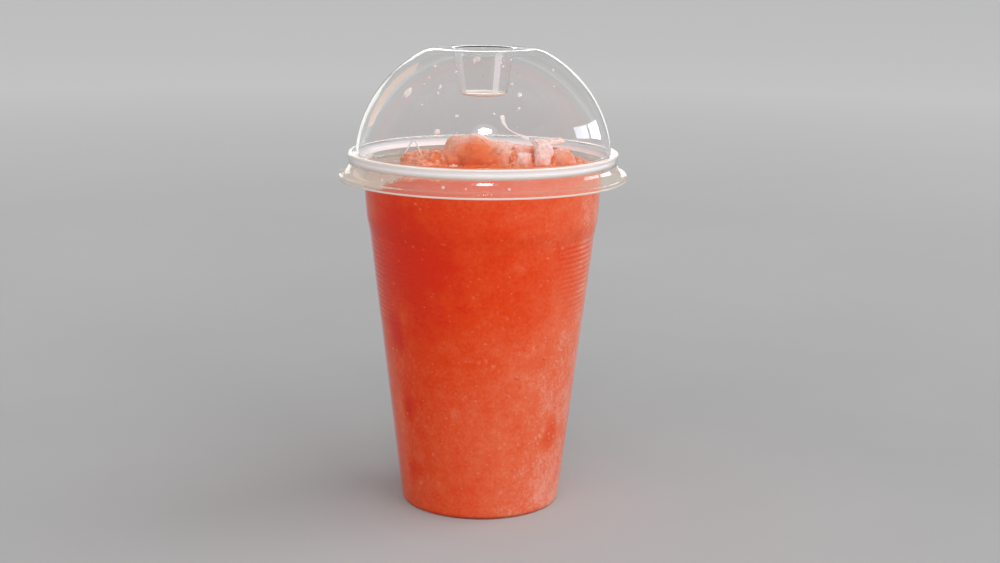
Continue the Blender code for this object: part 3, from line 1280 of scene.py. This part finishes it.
@dataclass
class Slush:
    """The frozen drink: the body in the cup, and the heap on it."""

    cup: ClearCup
    sunk_in_wall: float = 0.00042
    rib_share: float = 0.10
    # Painted highlight and shade: pale and deep lines along the ribs, at the sides only.
    painted_rib_lines: float = 0.24
    wall_level: float = 0.1230
    free_depth: float = 0.0105
    crown: float = 0.0030
    tilt: Pair = (0.040, -0.045)
    left_dip: Triple = (0.0240, 0.0400, 0.0052)
    right_dip: Triple = (0.0330, 0.0430, 0.0022)
    roughness: float = 0.0011
    grain: float = 0.0075
    rings: int = 30
    body_below_heap: float = 0.0008
    heap_inset: float = 0.0001
    heap_steps: int = 96
    ice_grain: float = 0.0013
    grain_middle: float = 0.45
    smooth_edge: float = 0.0006
    smooth_fade: float = 0.0008
    wander: float = 0.4
    wander_size: float = 0.0060
    blot_reach: float = 1.2
    side_start: float = 0.66
    side_fade: float = 0.22
    painted_rib_lines_reach: float = 1.2

    def wall_radius(self, height: float) -> float:
        """The slush's radius at a height, just inside the wall's own thickness."""
        return self.cup.wall_radius(height) - self.sunk_in_wall

    def level(self, x: float, y: float) -> float:
        """The height of the slush's top, without its lumps.

        Args:
            x: The place's x.
            y: The place's y.

        Returns:
            The height.
        """
        reach = math.hypot(x, y) / self.cup.band_top[0]
        rough = noise.noise(Vector((x, y, 0.0)) / self.grain) * self.roughness
        height = self.wall_level + self.crown * (1.0 - reach * reach) + rough
        height += self.tilt[0] * x + self.tilt[1] * y
        for side, (start, end, depth) in ((-x, self.left_dip), (x, self.right_dip)):
            height -= depth * eased((side - start) / (end - start))
        return height

    def spun_with_top(self, wall: Outline, steps: int, drop: float, inset: float) -> Shape:
        """A slush spun under a level top, which is then moved to the slush's own height.

        Args:
            wall: The outline below the top, from its edge down to the axis.
            steps: How many steps the full turn has.
            drop: How far below the slush's level the top ends.
            inset: How far inside the slush's radius the edge stays.

        Returns:
            The bmesh.
        """
        flat = self.cup.band_top[1]
        rim = self.wall_radius(self.wall_level) - inset
        shape = spun([(rim * ring / self.rings, flat) for ring in range(self.rings + 1)] + wall, steps)
        low = self.wall_level - self.free_depth
        for vert in shape.verts:
            share = (vert.co.z - low) / (flat - low)
            if share > 0.0:
                vert.co.z = low + (self.level(vert.co.x, vert.co.y) - drop - low) * share
                draw_in(vert, self.wall_radius(vert.co.z) - inset)
        return shape

    def build_body(self, finish: Material) -> None:
        """Makes the slush in the cup, up to just under the heap.

        Args:
            finish: Its material.
        """
        band = self.cup.band_outline(self.sunk_in_wall)
        wall = [point for point in band if point[1] < self.wall_level - self.free_depth]
        wall += self.cup.rib_outline(self.sunk_in_wall, self.rib_share)
        wall += self.cup.foot_outline(self.sunk_in_wall)
        shape = self.spun_with_top(wall, SPIN_STEPS, self.body_below_heap, 0.0)
        layer = shape.verts.layers.float.new("shade")
        for vert in shape.verts:
            vert[layer] = self.shade_at(vert.co)
        settle(as_object("slush_body", shape), finish, "frozen_slush", "slush")

    def shade_at(self, point: Vector) -> float:
        """What the blots, and the painted rib lines at the sides, which are painted highlight and shade in
        place of the ribs' glints, add to the tone of the wall's slush.

        Args:
            point: The place.

        Returns:
            The shade, above 0 where the slush is paler.
        """
        wander = noise.noise(point / self.wander_size) * self.wander
        bearing = math.atan2(point.x, -point.y)
        total = 0.0
        for blot in BLOTS:
            turn = math.remainder(bearing - math.radians(blot.bearing_deg), math.tau)
            aside = turn * point.xy.length / blot.half_width
            rise = (point.z - blot.height) / blot.half_height
            total += blot.shade * eased(self.blot_reach - math.hypot(aside, rise) + wander)
        # Painted rib highlights and shade, only at the sides.
        at_side = held((abs(math.sin(bearing)) - self.side_start) / self.side_fade)
        above = (self.cup.ribs_top - point.z) / (self.cup.ribs_top - self.cup.ribs_bottom)
        if 0.0 < above < 1.0:
            fade = self.painted_rib_lines * (self.painted_rib_lines_reach - above) * (1.0 + wander)
            total += math.cos(math.tau * self.cup.ribs * above) * at_side * fade
        return total

    def build_heap(self, finish: Material) -> list[Piece]:
        """Makes the heap: the bank that covers the slush, and the scoop and chunks that lie in it.

        Args:
            finish: Its material.

        Returns:
            The pieces, the bank first.
        """
        pieces = []
        low = self.wall_level - self.free_depth
        wall = [(self.wall_radius(low) - self.heap_inset, low), (0.0, low)]
        for part in HEAP:
            shape = bmesh.new()
            if part.is_bank:
                shape = self.spun_with_top(wall, self.heap_steps, 0.0, self.heap_inset)
            for number, lump in enumerate(part.lumps, part.seed):
                lump.add_to(shape, number)
            piece = as_object(part.name, shape)
            melt(piece, part.voxel)
            self.sculpt(piece, part)
            pieces.append(settle(piece, finish, "frozen_slush"))
        return pieces

    def sculpt(self, piece: Piece, part: HeapPart) -> None:
        """Gives a melted part of the heap its relief and its frost, and keeps it inside the cup's wall.

        Args:
            piece: The part's object.
            part: Which part it is.
        """
        shape = bmesh.new()
        shape.from_mesh(piece.data)
        for _ in range(part.softening):
            bmesh.ops.smooth_vert(
                shape, verts=shape.verts, factor=0.5, use_axis_x=True, use_axis_y=True, use_axis_z=True
            )
        shape.normal_update()
        layer = shape.verts.layers.float.new("frost")
        normals = [vert.normal.copy() for vert in shape.verts]
        for vert, normal in zip(shape.verts, normals):
            grain = self.grain_middle - noise.voronoi(vert.co / self.ice_grain)[0][0]
            frost = part.frost_at(vert.co, grain)
            vert[layer] = frost
            room = self.wall_radius(vert.co.z) - self.heap_inset
            free = held((room - self.smooth_edge - vert.co.xy.length) / self.smooth_fade)
            vert.co += normal * part.relief_at(vert.co, frost, grain) * free
            draw_in(vert, room)
        bmesh.ops.recalc_face_normals(shape, faces=shape.faces)
        shape.to_mesh(piece.data)
        shape.free()


@dataclass(frozen=True)
class IceSpot:
    """A pale chip, or a cluster of them, at a chosen place against the cup's wall."""

    bearing_deg: float
    height: float
    size: float
    paleness: float
    count: int = 1
    spread: float = 0.0


ICE_SPOTS = (
    IceSpot(43.1, 0.0667, 0.00060, 0.50, 5, 0.0035),
    IceSpot(53.4, 0.0603, 0.00070, 0.85, 9, 0.0034),
    IceSpot(63.1, 0.0620, 0.00060, 0.60, 6, 0.0030),
    IceSpot(60.0, 0.0540, 0.00060, 0.50, 5, 0.0040),
    IceSpot(39.8, 0.0304, 0.00110, 0.75, 3, 0.0012),
    IceSpot(38.9, 0.0267, 0.00090, 0.70, 2, 0.0010),
    IceSpot(62.1, 0.1059, 0.00070, 0.55, 5, 0.0030),
    IceSpot(58.6, 0.0926, 0.00070, 0.50, 5, 0.0040),
    IceSpot(65.5, 0.0849, 0.00060, 0.50, 4, 0.0030),
    IceSpot(-59.6, 0.0599, 0.00100, 0.48, 3, 0.0016),
    IceSpot(2.6, 0.0667, 0.00080, 0.42),
    IceSpot(-31.3, 0.1140, 0.00080, 0.45, 2, 0.0012),
    IceSpot(28.9, 0.0457, 0.00080, 0.42, 3, 0.0030),
    IceSpot(53.9, 0.0309, 0.00070, 0.45, 4, 0.0035),
    IceSpot(-27.1, 0.0814, 0.00070, 0.36, 3, 0.0035),
)


@dataclass
class LooseIce:
    """Loose grains of ice on the heap, and chips of ice pressed against the cup's wall."""

    slush: Slush
    grains: int = 900
    grain_size: Pair = (0.00018, 0.00050)
    grain_breadth: Pair = (0.6, 1.0)
    grain_thickness: Pair = (0.5, 0.9)
    grain_unevenness: Pair = (0.72, 1.12)
    grain_room: float = 0.0405
    grain_slope: float = 0.25
    grain_lift: float = 0.3
    grain_frost: float = 0.18
    bare_frost: float = 0.30
    bare_weight: float = 0.01
    crowding: float = 1.5
    chips: int = 240
    chip_size: Pair = (0.00030, 0.00085)
    chip_breadth: Pair = (0.6, 1.0)
    chip_unevenness: Pair = (0.8, 1.15)
    chip_heights: Pair = (0.006, 0.112)
    chip_inset: float = 0.00003
    chip_flatness: float = 0.12
    chip_depth: float = 0.00006
    chip_paleness: Pair = (0.12, 0.45)
    chip_fade: float = 1.5
    crowd: float = 0.30
    crowd_right: float = 0.40
    crowd_low: float = 0.30
    large: float = 1.5
    large_share: float = 0.08
    spot_sizes: Pair = (0.6, 1.1)
    spot_shades: Pair = (0.6, 1.0)
    seed: int = 11

    def build_grains(self, heap: Sequence[Piece], finish: Material) -> None:
        """Scatters loose, uneven grains over the heap, most of them where it is frosty.

        Args:
            heap: The pieces of the heap that they lie on.
            finish: Their material.
        """
        draw = random.Random(self.seed)
        spots = []
        for piece in heap:
            frost = piece.data.attributes["frost"].data
            for face in piece.data.polygons:
                if face.normal.z > self.grain_slope and face.center.xy.length < self.grain_room:
                    pale = frost[face.vertices[0]].value
                    weight = max(pale - self.bare_frost, self.bare_weight) ** self.crowding * face.area
                    spots.append((face.center.copy(), face.normal.copy(), pale, weight))
        shape = bmesh.new()
        layer = shape.verts.layers.float.new("frost")
        for place, normal, pale, _ in draw.choices(spots, [spot[3] for spot in spots], k=self.grains):
            size = draw.uniform(*self.grain_size)
            breadth = size * draw.uniform(*self.grain_breadth)
            half = Matrix.Diagonal((size, breadth, size * draw.uniform(*self.grain_thickness)))
            ball = bmesh.ops.create_icosphere(shape, subdivisions=1, radius=1.0)
            turn = Matrix.Rotation(draw.uniform(0.0, math.tau), 3, "Z")
            turn @= Matrix.Rotation(draw.uniform(0.0, math.pi), 3, "X")
            for vert in ball["verts"]:
                way = vert.co * draw.uniform(*self.grain_unevenness)
                vert.co = place + normal * size * self.grain_lift + turn @ (half @ way)
                vert[layer] = min(pale + self.grain_frost, 1.0)
        settle(as_object("ice_grains", shape), finish, "frozen_slush")

    def add_chip(
        self, shape: Shape, draw: random.Random, bearing: float, height: float, size: float, pale: float
    ) -> None:
        """Adds one flat chip against the cup's wall, palest in its middle.

        Args:
            shape: The bmesh that takes it.
            draw: The source of its shape.
            bearing: Its bearing, in radians.
            height: Its height.
            size: Its half size.
            pale: How pale its middle is.
        """
        layer = shape.verts.layers.float["frost"]
        stretch = draw.uniform(*self.chip_breadth)
        turn = Matrix.Rotation(draw.uniform(0.0, math.pi), 2)
        along = around(bearing + math.pi / 2, 1.0, 0.0)
        outwards = around(bearing, 1.0, 0.0)
        middle = around(bearing, self.slush.wall_radius(height) - self.chip_inset, height)
        for vert in bmesh.ops.create_uvsphere(shape, u_segments=8, v_segments=5, radius=1.0)["verts"]:
            depth = vert.co.z
            flat = vert.co.xy * draw.uniform(*self.chip_unevenness)
            flat = turn @ Vector((flat.x, flat.y * stretch))
            proud = depth * min(self.chip_flatness, self.chip_depth / size)
            vert.co = middle + (along * flat.x + Vector((0.0, 0.0, flat.y)) + outwards * proud) * size
            vert[layer] = pale * max(depth, 0.0) ** self.chip_fade

    def build_chips(self, finish: Material) -> None:
        """Presses chips of ice against the cup's wall, most of them low and to the right.

        Args:
            finish: Their material.
        """
        draw = random.Random(self.seed + 1)
        shape = bmesh.new()
        shape.verts.layers.float.new("frost")
        made = 0
        while made < self.chips:
            bearing = draw.uniform(-math.pi, math.pi)
            height = draw.uniform(*self.chip_heights)
            crowd = self.crowd + self.crowd_right * math.sin(bearing)
            crowd += self.crowd_low * (1.0 - height / self.chip_heights[1])
            if draw.random() > crowd:
                continue
            made += 1
            size = draw.uniform(*self.chip_size) * (self.large if draw.random() < self.large_share else 1.0)
            self.add_chip(shape, draw, bearing, height, size, draw.uniform(*self.chip_paleness))
        for spot in ICE_SPOTS:
            for _ in range(spot.count):
                height = spot.height + draw.uniform(-spot.spread, spot.spread)
                aside = draw.uniform(-spot.spread, spot.spread) / self.slush.wall_radius(height)
                size = spot.size * draw.uniform(*self.spot_sizes)
                pale = spot.paleness * draw.uniform(*self.spot_shades)
                self.add_chip(shape, draw, math.radians(spot.bearing_deg) + aside, height, size, pale)
        settle(as_object("wall_ice", shape), finish, "frozen_slush")


@dataclass
class WallFrost:
    """The film of frost left on the cup's wall at the left, where the drink has sunk."""

    cup: ClearCup
    top: float = 0.1256
    bottoms: tuple[Pair, ...] = (
        (-114.0, 0.1254),
        (-100.0, 0.1232),
        (-88.0, 0.1182),
        (-74.0, 0.1152),
        (-55.0, 0.1180),
        (-36.0, 0.1245),
    )
    raggedness: float = 0.0020
    wave_deg: float = 6.0
    notch_deg: float = 1.5
    notch_share: float = 0.6
    least_height: float = 0.0002
    thickness: float = 0.00012
    sides: Pair = (0.2, -1.0)
    columns: int = 180
    rows: int = 20
    column_fade: int = 8
    row_fade: int = 4

    def bottom_at(self, bearing_deg: float) -> float:
        """How far down the film reaches.

        Args:
            bearing_deg: The bearing.

        Returns:
            The height of its ragged lower edge.
        """
        ragged = noise.noise(Vector((bearing_deg / self.wave_deg, 0.0, 0.0)))
        ragged += noise.noise(Vector((bearing_deg / self.notch_deg, 3.0, 0.0))) * self.notch_share
        height = read_off(self.bottoms, bearing_deg) + ragged * self.raggedness
        return min(height, self.top - self.least_height)

    def build(self, finish: Material) -> None:
        """Makes the film, thickest in its middle, just reaching into the wall.

        Args:
            finish: Its material.
        """
        shape = bmesh.new()
        first, last = self.bottoms[0][0], self.bottoms[-1][0]
        for side in self.sides:
            sheet = bmesh.ops.create_grid(shape, x_segments=self.columns, y_segments=self.rows, size=1.0)
            for vert in sheet["verts"]:
                across = (vert.co.x + 1.0) / 2
                up = (vert.co.y + 1.0) / 2
                bearing_deg = first + (last - first) * across
                low = self.bottom_at(bearing_deg)
                height = low + (self.top - low) * up
                inwards = min(across, 1.0 - across) * self.columns / self.column_fade
                upwards = min(up, 1.0 - up) * self.rows / self.row_fade
                thick = self.thickness * min(inwards, upwards, 1.0) * side
                reach = self.cup.wall_radius(height) - self.cup.wall + thick
                vert.co = around(math.radians(bearing_deg), reach, height)
        bmesh.ops.remove_doubles(shape, verts=shape.verts, dist=WELD / 10)
        bmesh.ops.recalc_face_normals(shape, faces=shape.faces)
        settle(as_object("wall_frost", shape), finish, "frozen_slush")


@dataclass(frozen=True)
class Drop:
    """One drop: its bearing and height, its half width, whether it runs, and what it hangs on."""

    bearing_deg: float
    height: float
    half_width: float
    runs: bool = False
    surface: Surface = Surface.DOME


DROPS = (
    Drop(-43.7, 0.1516, 0.00155, runs=True),
    Drop(13.7, 0.1619, 0.00045),
    Drop(14.5, 0.1608, 0.00055),
    Drop(23.1, 0.1627, 0.00045),
    Drop(-24.5, 0.1542, 0.00065, runs=True),
    Drop(-24.2, 0.1522, 0.00045, runs=True),
    Drop(20.2, 0.1521, 0.00085),
    Drop(-36.5, 0.1604, 0.00070),
    Drop(-18.0, 0.1590, 0.00055),
    Drop(54.6, 0.1591, 0.00060),
    Drop(-20.3, 0.1401, 0.00110),
    Drop(-11.9, 0.1454, 0.00060),
    Drop(17.1, 0.1555, 0.00045),
    Drop(18.2, 0.1480, 0.00050),
    Drop(5.6, 0.1463, 0.00040),
    Drop(-34.7, 0.1567, 0.00045),
    Drop(-35.8, 0.1548, 0.00050),
    Drop(-31.3, 0.1483, 0.00040),
    Drop(-166.0, 0.1612, 0.00120, True, Surface.WELL),
    Drop(-158.0, 0.1600, 0.00080, True, Surface.WELL),
    Drop(138.0, 0.1622, 0.00090, True, Surface.WELL),
    Drop(130.0, 0.1605, 0.00060, False, Surface.WELL),
    Drop(80.0, 0.1636, 0.00060, False, Surface.WELL),
    Drop(-15.0, 0.1224, 0.00060, False, Surface.COLLAR),
    Drop(-6.0, 0.1222, 0.00035, False, Surface.COLLAR),
    Drop(11.0, 0.1222, 0.00050, False, Surface.COLLAR),
    Drop(-44.0, 0.1228, 0.00060, False, Surface.COLLAR),
)

RUN_POINTS = (
    (9.4, 0.1452, 0.00085),
    (9.7, 0.1436, 0.00060),
    (11.3, 0.1418, 0.00030),
    (13.9, 0.1405, 0.00022),
    (17.0, 0.1395, 0.00034),
    (20.5, 0.1383, 0.00080),
)
CREASE_POINTS = (
    ((-31.6, 0.1370, 0.0002), (-32.6, 0.1356, 0.0004), (-35.2, 0.1320, 0.0002)),
    ((-30.6, 0.1368, 0.0002), (-28.6, 0.1350, 0.0003), (-26.2, 0.1324, 0.0002)),
)


@dataclass
class Water:
    """The drops on the dome and in its well, the run that one of them has left, and the dome's creases."""

    lid: DomeLid
    rise: float = 0.50
    sunk: float = 0.22
    tail_taper: float = 0.45
    tail_length: float = 1.5
    thread_beads: int = 12
    voxel: float = 0.00007
    seed: int = 5
    strays: int = 46
    stray_heights: Pair = (0.1330, 0.1615)
    stray_sizes: Pair = (0.00014, 0.00036)

    def add_drop(self, shape: Shape, drop: Drop) -> None:
        """Adds one drop: a bead, or one that runs out into a tail.

        Args:
            shape: The bmesh that takes it.
            drop: The drop.
        """
        point, normal = self.lid.spot_on(drop.surface, drop.bearing_deg, drop.height)
        across = Vector((0.0, 0.0, 1.0)).cross(normal).normalized()
        down = across.cross(normal).normalized()
        if down.z > 0.0:
            down = -down
        for vert in bmesh.ops.create_uvsphere(shape, u_segments=16, v_segments=10, radius=1.0)["verts"]:
            width, along, depth = vert.co
            depth *= self.rise if depth > 0.0 else self.sunk
            if drop.runs:
                width *= 1.0 - self.tail_taper * max(-along, 0.0)
                along *= self.tail_length
            vert.co = point + (across * width + down * along + normal * depth) * drop.half_width

    def build_thread(self, name: str, points: Sequence[Triple], finish: Material) -> None:
        """Makes a thin raised line on the dome: overlapping beads, melted into one.

        Args:
            name: The piece's name.
            points: The bearings, heights and half widths along it.
            finish: Its material.
        """
        shape = bmesh.new()
        for start, end in zip(points, points[1:]):
            for step in range(self.thread_beads):
                share = step / self.thread_beads
                self.add_drop(shape, Drop(*(a + (b - a) * share for a, b in zip(start, end))))
        piece = as_object(name, shape)
        melt(piece, self.voxel)
        settle(piece, finish, "clear_lid")

    def build(self, finish: Material) -> None:
        """Makes the drops, the run and the creases.

        Args:
            finish: Their material, water clouded by the drink.
        """
        draw = random.Random(self.seed)
        beads = bmesh.new()
        for drop in DROPS:
            self.add_drop(beads, drop)
        for _ in range(self.strays):
            bearing_deg = draw.uniform(-180.0, 180.0)
            height = draw.uniform(*self.stray_heights)
            self.add_drop(beads, Drop(bearing_deg, height, draw.uniform(*self.stray_sizes)))
        settle(as_object("water_drops", beads), finish, "clear_lid")
        self.build_thread("water_run", RUN_POINTS, finish)
        for number, points in enumerate(CREASE_POINTS, 1):
            self.build_thread(f"lid_crease_{number}", points, finish)


# The studio


class LightRole(Enum):
    """What a light does: whether it lightens, is mirrored, and is seen through clear walls."""

    SHAPES = (True, True, True)
    SHEENS = (False, True, True)
    GLEAMS = (False, True, False)
    FILLS = (True, False, False)


class LightShape(Enum):
    """The outline of a softbox, with the share of its frame that it fills."""

    BOX = ("RECTANGLE", 1.0)
    ROUND = ("ELLIPSE", math.pi / 4)


@dataclass(frozen=True)
class Lamp:
    """A light in a direction as seen from the drink: azimuth 0 is away from the camera, 90 its right."""

    name: str
    azimuth_deg: float
    elevation_deg: float

    def hang(
        self,
        light: bpy.types.Light,
        role: LightRole,
        target: Vector = Vector((0.0, 0.0, 0.0)),
        distance: float = 0.0,
        tilt_deg: float = 0.0,
    ) -> None:
        """Hangs the light, turned to its target.

        Args:
            light: The light.
            role: What it does.
            target: What it is turned to.
            distance: How far from the target it hangs.
            tilt_deg: How far it is turned in its own plane.
        """
        azimuth = math.radians(self.azimuth_deg)
        level = math.cos(math.radians(self.elevation_deg))
        rise = math.sin(math.radians(self.elevation_deg))
        way = Vector((math.sin(azimuth) * level, math.cos(azimuth) * level, rise))
        facing = way.to_track_quat("Z", "Y").to_matrix().to_4x4()
        facing @= Matrix.Rotation(math.radians(tilt_deg), 4, "Z")
        holder = placed(self.name, light, Matrix.Translation(target + way * distance) @ facing)
        holder.visible_camera = False
        holder.visible_diffuse, holder.visible_glossy, holder.visible_transmission = role.value


@dataclass(frozen=True)
class Softbox(Lamp):
    """A softbox."""

    distance: float
    width: float
    height: float
    radiance: float
    role: LightRole = LightRole.SHAPES
    tint: Triple = (1.0, 1.0, 1.0)
    tilt_deg: float = 0.0
    shape: LightShape = LightShape.BOX

    def build(self, target: Vector) -> None:
        """Makes the light.

        Args:
            target: What it is turned to.
        """
        outline, fills = self.shape.value
        light = bpy.data.lights.new(self.name, "AREA")
        light.shape = outline
        light.size = self.width
        light.size_y = self.height
        light.energy = self.radiance * math.pi * self.width * self.height * fills
        light.color = self.tint
        self.hang(light, self.role, target, self.distance, self.tilt_deg)


@dataclass(frozen=True)
class SoftSun(Lamp):
    """A wide soft light that falls on the drink and the floor alike."""

    strength: float
    softness_deg: float

    def build(self) -> None:
        """Makes the light."""
        light = bpy.data.lights.new(self.name, "SUN")
        light.energy = self.strength
        light.angle = math.radians(self.softness_deg)
        self.hang(light, LightRole.FILLS)


CREAM = (1.0, 0.96, 0.90)
DAYLIGHT = (0.80, 0.90, 1.0)
AMBER = (1.0, 0.46, 0.14)


@dataclass
class Studio:
    """The floor, the soft light and the camera."""

    floor_radius: float = 12.0
    floor_segments: int = 128
    horizon: Triple = (0.54, 0.54, 0.54)
    zenith: Triple = (0.46, 0.46, 0.47)
    front_share: float = 0.50
    front_end: float = 0.30
    camera_distance: float = 0.600
    camera_height: float = 0.2083
    camera_side: float = 0.00655
    camera_pitch_deg: float = 11.98
    camera_roll_deg: float = 0.66
    lens: float = 60.84
    sensor: float = 36.0
    nearest: float = 0.01
    target: Vector = Vector((0.0, 0.0, 0.1))
    softboxes: tuple[Softbox, ...] = (
        Softbox("gleam_back", 0.0, 12.4, 0.604, 0.25, 0.032, 1.7, LightRole.SHEENS),
        Softbox("gleam_right", 13.0, 6.0, 0.62, 0.16, 0.20, 1.2, LightRole.GLEAMS, CREAM),
        Softbox("gleam_left", -28.0, 6.0, 0.66, 0.16, 0.22, 1.3, LightRole.GLEAMS, CREAM),
        Softbox("gleam_top", -9.0, 17.0, 0.64, 0.22, 0.11, 1.5, LightRole.GLEAMS, CREAM),
        Softbox("pane_1", 53.0, 10.3, 1.3, 0.42, 0.17, 4.4, LightRole.SHEENS, DAYLIGHT, -17.0),
        Softbox("pane_2", 74.0, 16.5, 1.3, 0.42, 0.17, 4.4, LightRole.SHEENS, DAYLIGHT, -17.0),
        Softbox("glow", -42.0, 23.0, 1.3, 0.30, 0.70, 0.8, LightRole.SHEENS, AMBER, 28.0),
        Softbox("front_lamp", 177.7, 36.0, 1.5, 0.30, 0.16, 16.0, shape=LightShape.ROUND),
        Softbox("front_halo", 177.7, 36.0, 1.52, 0.54, 0.34, 1.0, shape=LightShape.ROUND),
        Softbox("fill_right", 128.0, 34.0, 1.8, 1.5, 1.3, 1.75, LightRole.FILLS),
        Softbox("fill_left", -155.0, 32.0, 1.8, 1.5, 1.3, 1.0, LightRole.FILLS),
    )
    soft_suns: tuple[SoftSun, ...] = (
        SoftSun("side_sun", 78.0, 48.0, 0.72, 34.0),
        SoftSun("front_sun", 160.0, 50.0, 0.66, 60.0),
    )

    def build_floor(self, finish: Material) -> None:
        """Makes the floor.

        Args:
            finish: Its paper.
        """
        shape = bmesh.new()
        bmesh.ops.create_circle(
            shape, cap_ends=True, segments=self.floor_segments, radius=self.floor_radius
        )
        floor = as_object("floor", shape)
        floor.data.materials.append(finish)

    def build_light(self) -> None:
        """Makes the even light of the room, the softboxes and the suns."""
        world = bpy.data.worlds.new("room")
        world.use_nodes = True
        wiring = Wiring(world.node_tree)
        way = wiring.add("SeparateXYZ", Vector=wiring.add("TexCoord").outputs["Generated"]).outputs
        wiring.set(
            world.node_tree.nodes["Background"],
            Color=wiring.ramp(way["Z"], ((0.0, self.horizon), (1.0, self.zenith))),
            Strength=wiring.stretch(way["Y"], -1.0, self.front_end, self.front_share, 1.0),
        )
        bpy.context.scene.world = world
        for softbox in self.softboxes:
            softbox.build(self.target)
        for sun in self.soft_suns:
            sun.build()

    def build_camera(self) -> None:
        """Makes the camera and gives it to the scene."""
        lens = bpy.data.cameras.new("camera")
        lens.sensor_width = self.sensor
        lens.lens = self.lens
        lens.clip_start = self.nearest
        pose = Matrix.Translation((self.camera_side, -self.camera_distance, self.camera_height))
        pose @= Matrix.Rotation(math.radians(90.0 - self.camera_pitch_deg), 4, "X")
        pose @= Matrix.Rotation(math.radians(self.camera_roll_deg), 4, "Z")
        bpy.context.scene.camera = placed("camera", lens, pose)

    def set_colours(self) -> None:
        """Shows the scene's colours as they are, with no film look."""
        view = bpy.context.scene.view_settings
        view.view_transform = "Standard"
        view.look = "None"
        view.exposure = 0.0
        view.gamma = 1.0


def main() -> None:
    """Builds the drink and its studio."""
    logging.basicConfig(level=logging.INFO, format="%(name)s %(message)s")
    cup = ClearCup()
    lid = DomeLid()
    slush = Slush(cup)
    ice = LooseIce(slush)
    cup.build(
        Plastic("cup_plastic", ior=1.3, hazy=0.10, wave_scale=70.0, wave_depth=0.00005).build(),
        # The rolled rim: milky for the thick rolled plastic and for the reflections in the curl's layers,
        # with its top painted grey by height as a painted shade line.
        Plastic(
            "rolled_rim_painted_shade",
            (0.99, 0.95, 0.97),
            clearness=0.16,
            smooth=0.04,
            hazy=0.16,
            painted_tints_by_height=(
                (0.1248, (1.0, 0.94, 0.94)),
                (0.1266, (1.0, 0.95, 0.97)),
                (0.1270, (0.78, 0.76, 0.80)),
                (0.1278, (0.62, 0.61, 0.65)),
            ),
        ).build(),
    )
    lid.build(
        Plastic("lid_plastic", wave_depth=0.00004).build(),
        # The well's hazy bands are painted reflections in its wall.
        Plastic("well_painted_reflection", (0.99, 0.98, 1.0), clearness=0.62, smooth=0.03, hazy=0.14).build(),
        # The trimmed edge is partly real whitening and partly a painted highlight line; on the ledge's bend
        # and the well's foot it is a painted highlight line.
        Plastic("trimmed_edge_and_highlight", (1.0, 0.91, 0.84), clearness=0.32, smooth=0.10, hazy=0.30).build(),
        Plastic("misted_plastic", (1.0, 0.92, 0.82), clearness=0.92, smooth=0.0, hazy=0.08).build(),
    )
    slush.build_body(WallSlush("wall_slush").build())
    heap = slush.build_heap(HeapSlush("heap_slush").build())
    ice.build_grains(heap, HeapSlush("grain_slush", wet=0.30, dry=0.50, glow=0.0).build())
    ice.build_chips(WallSlush("chip_slush", glow=0.0).build())
    WallFrost(cup).build(Plastic("wall_frost", (0.97, 0.88, 0.89), 0.54, 1.31, 0.15, 0.45).build())
    Water(lid).build(Plastic("clouded_water", (0.98, 0.91, 0.90), 0.60, 1.33, 0.02, 0.12).build())
    studio = Studio()
    studio.build_floor(StudioPaper("studio_paper").build())
    studio.build_light()
    studio.build_camera()
    studio.set_colours()


if __name__ == "__main__":
    main()
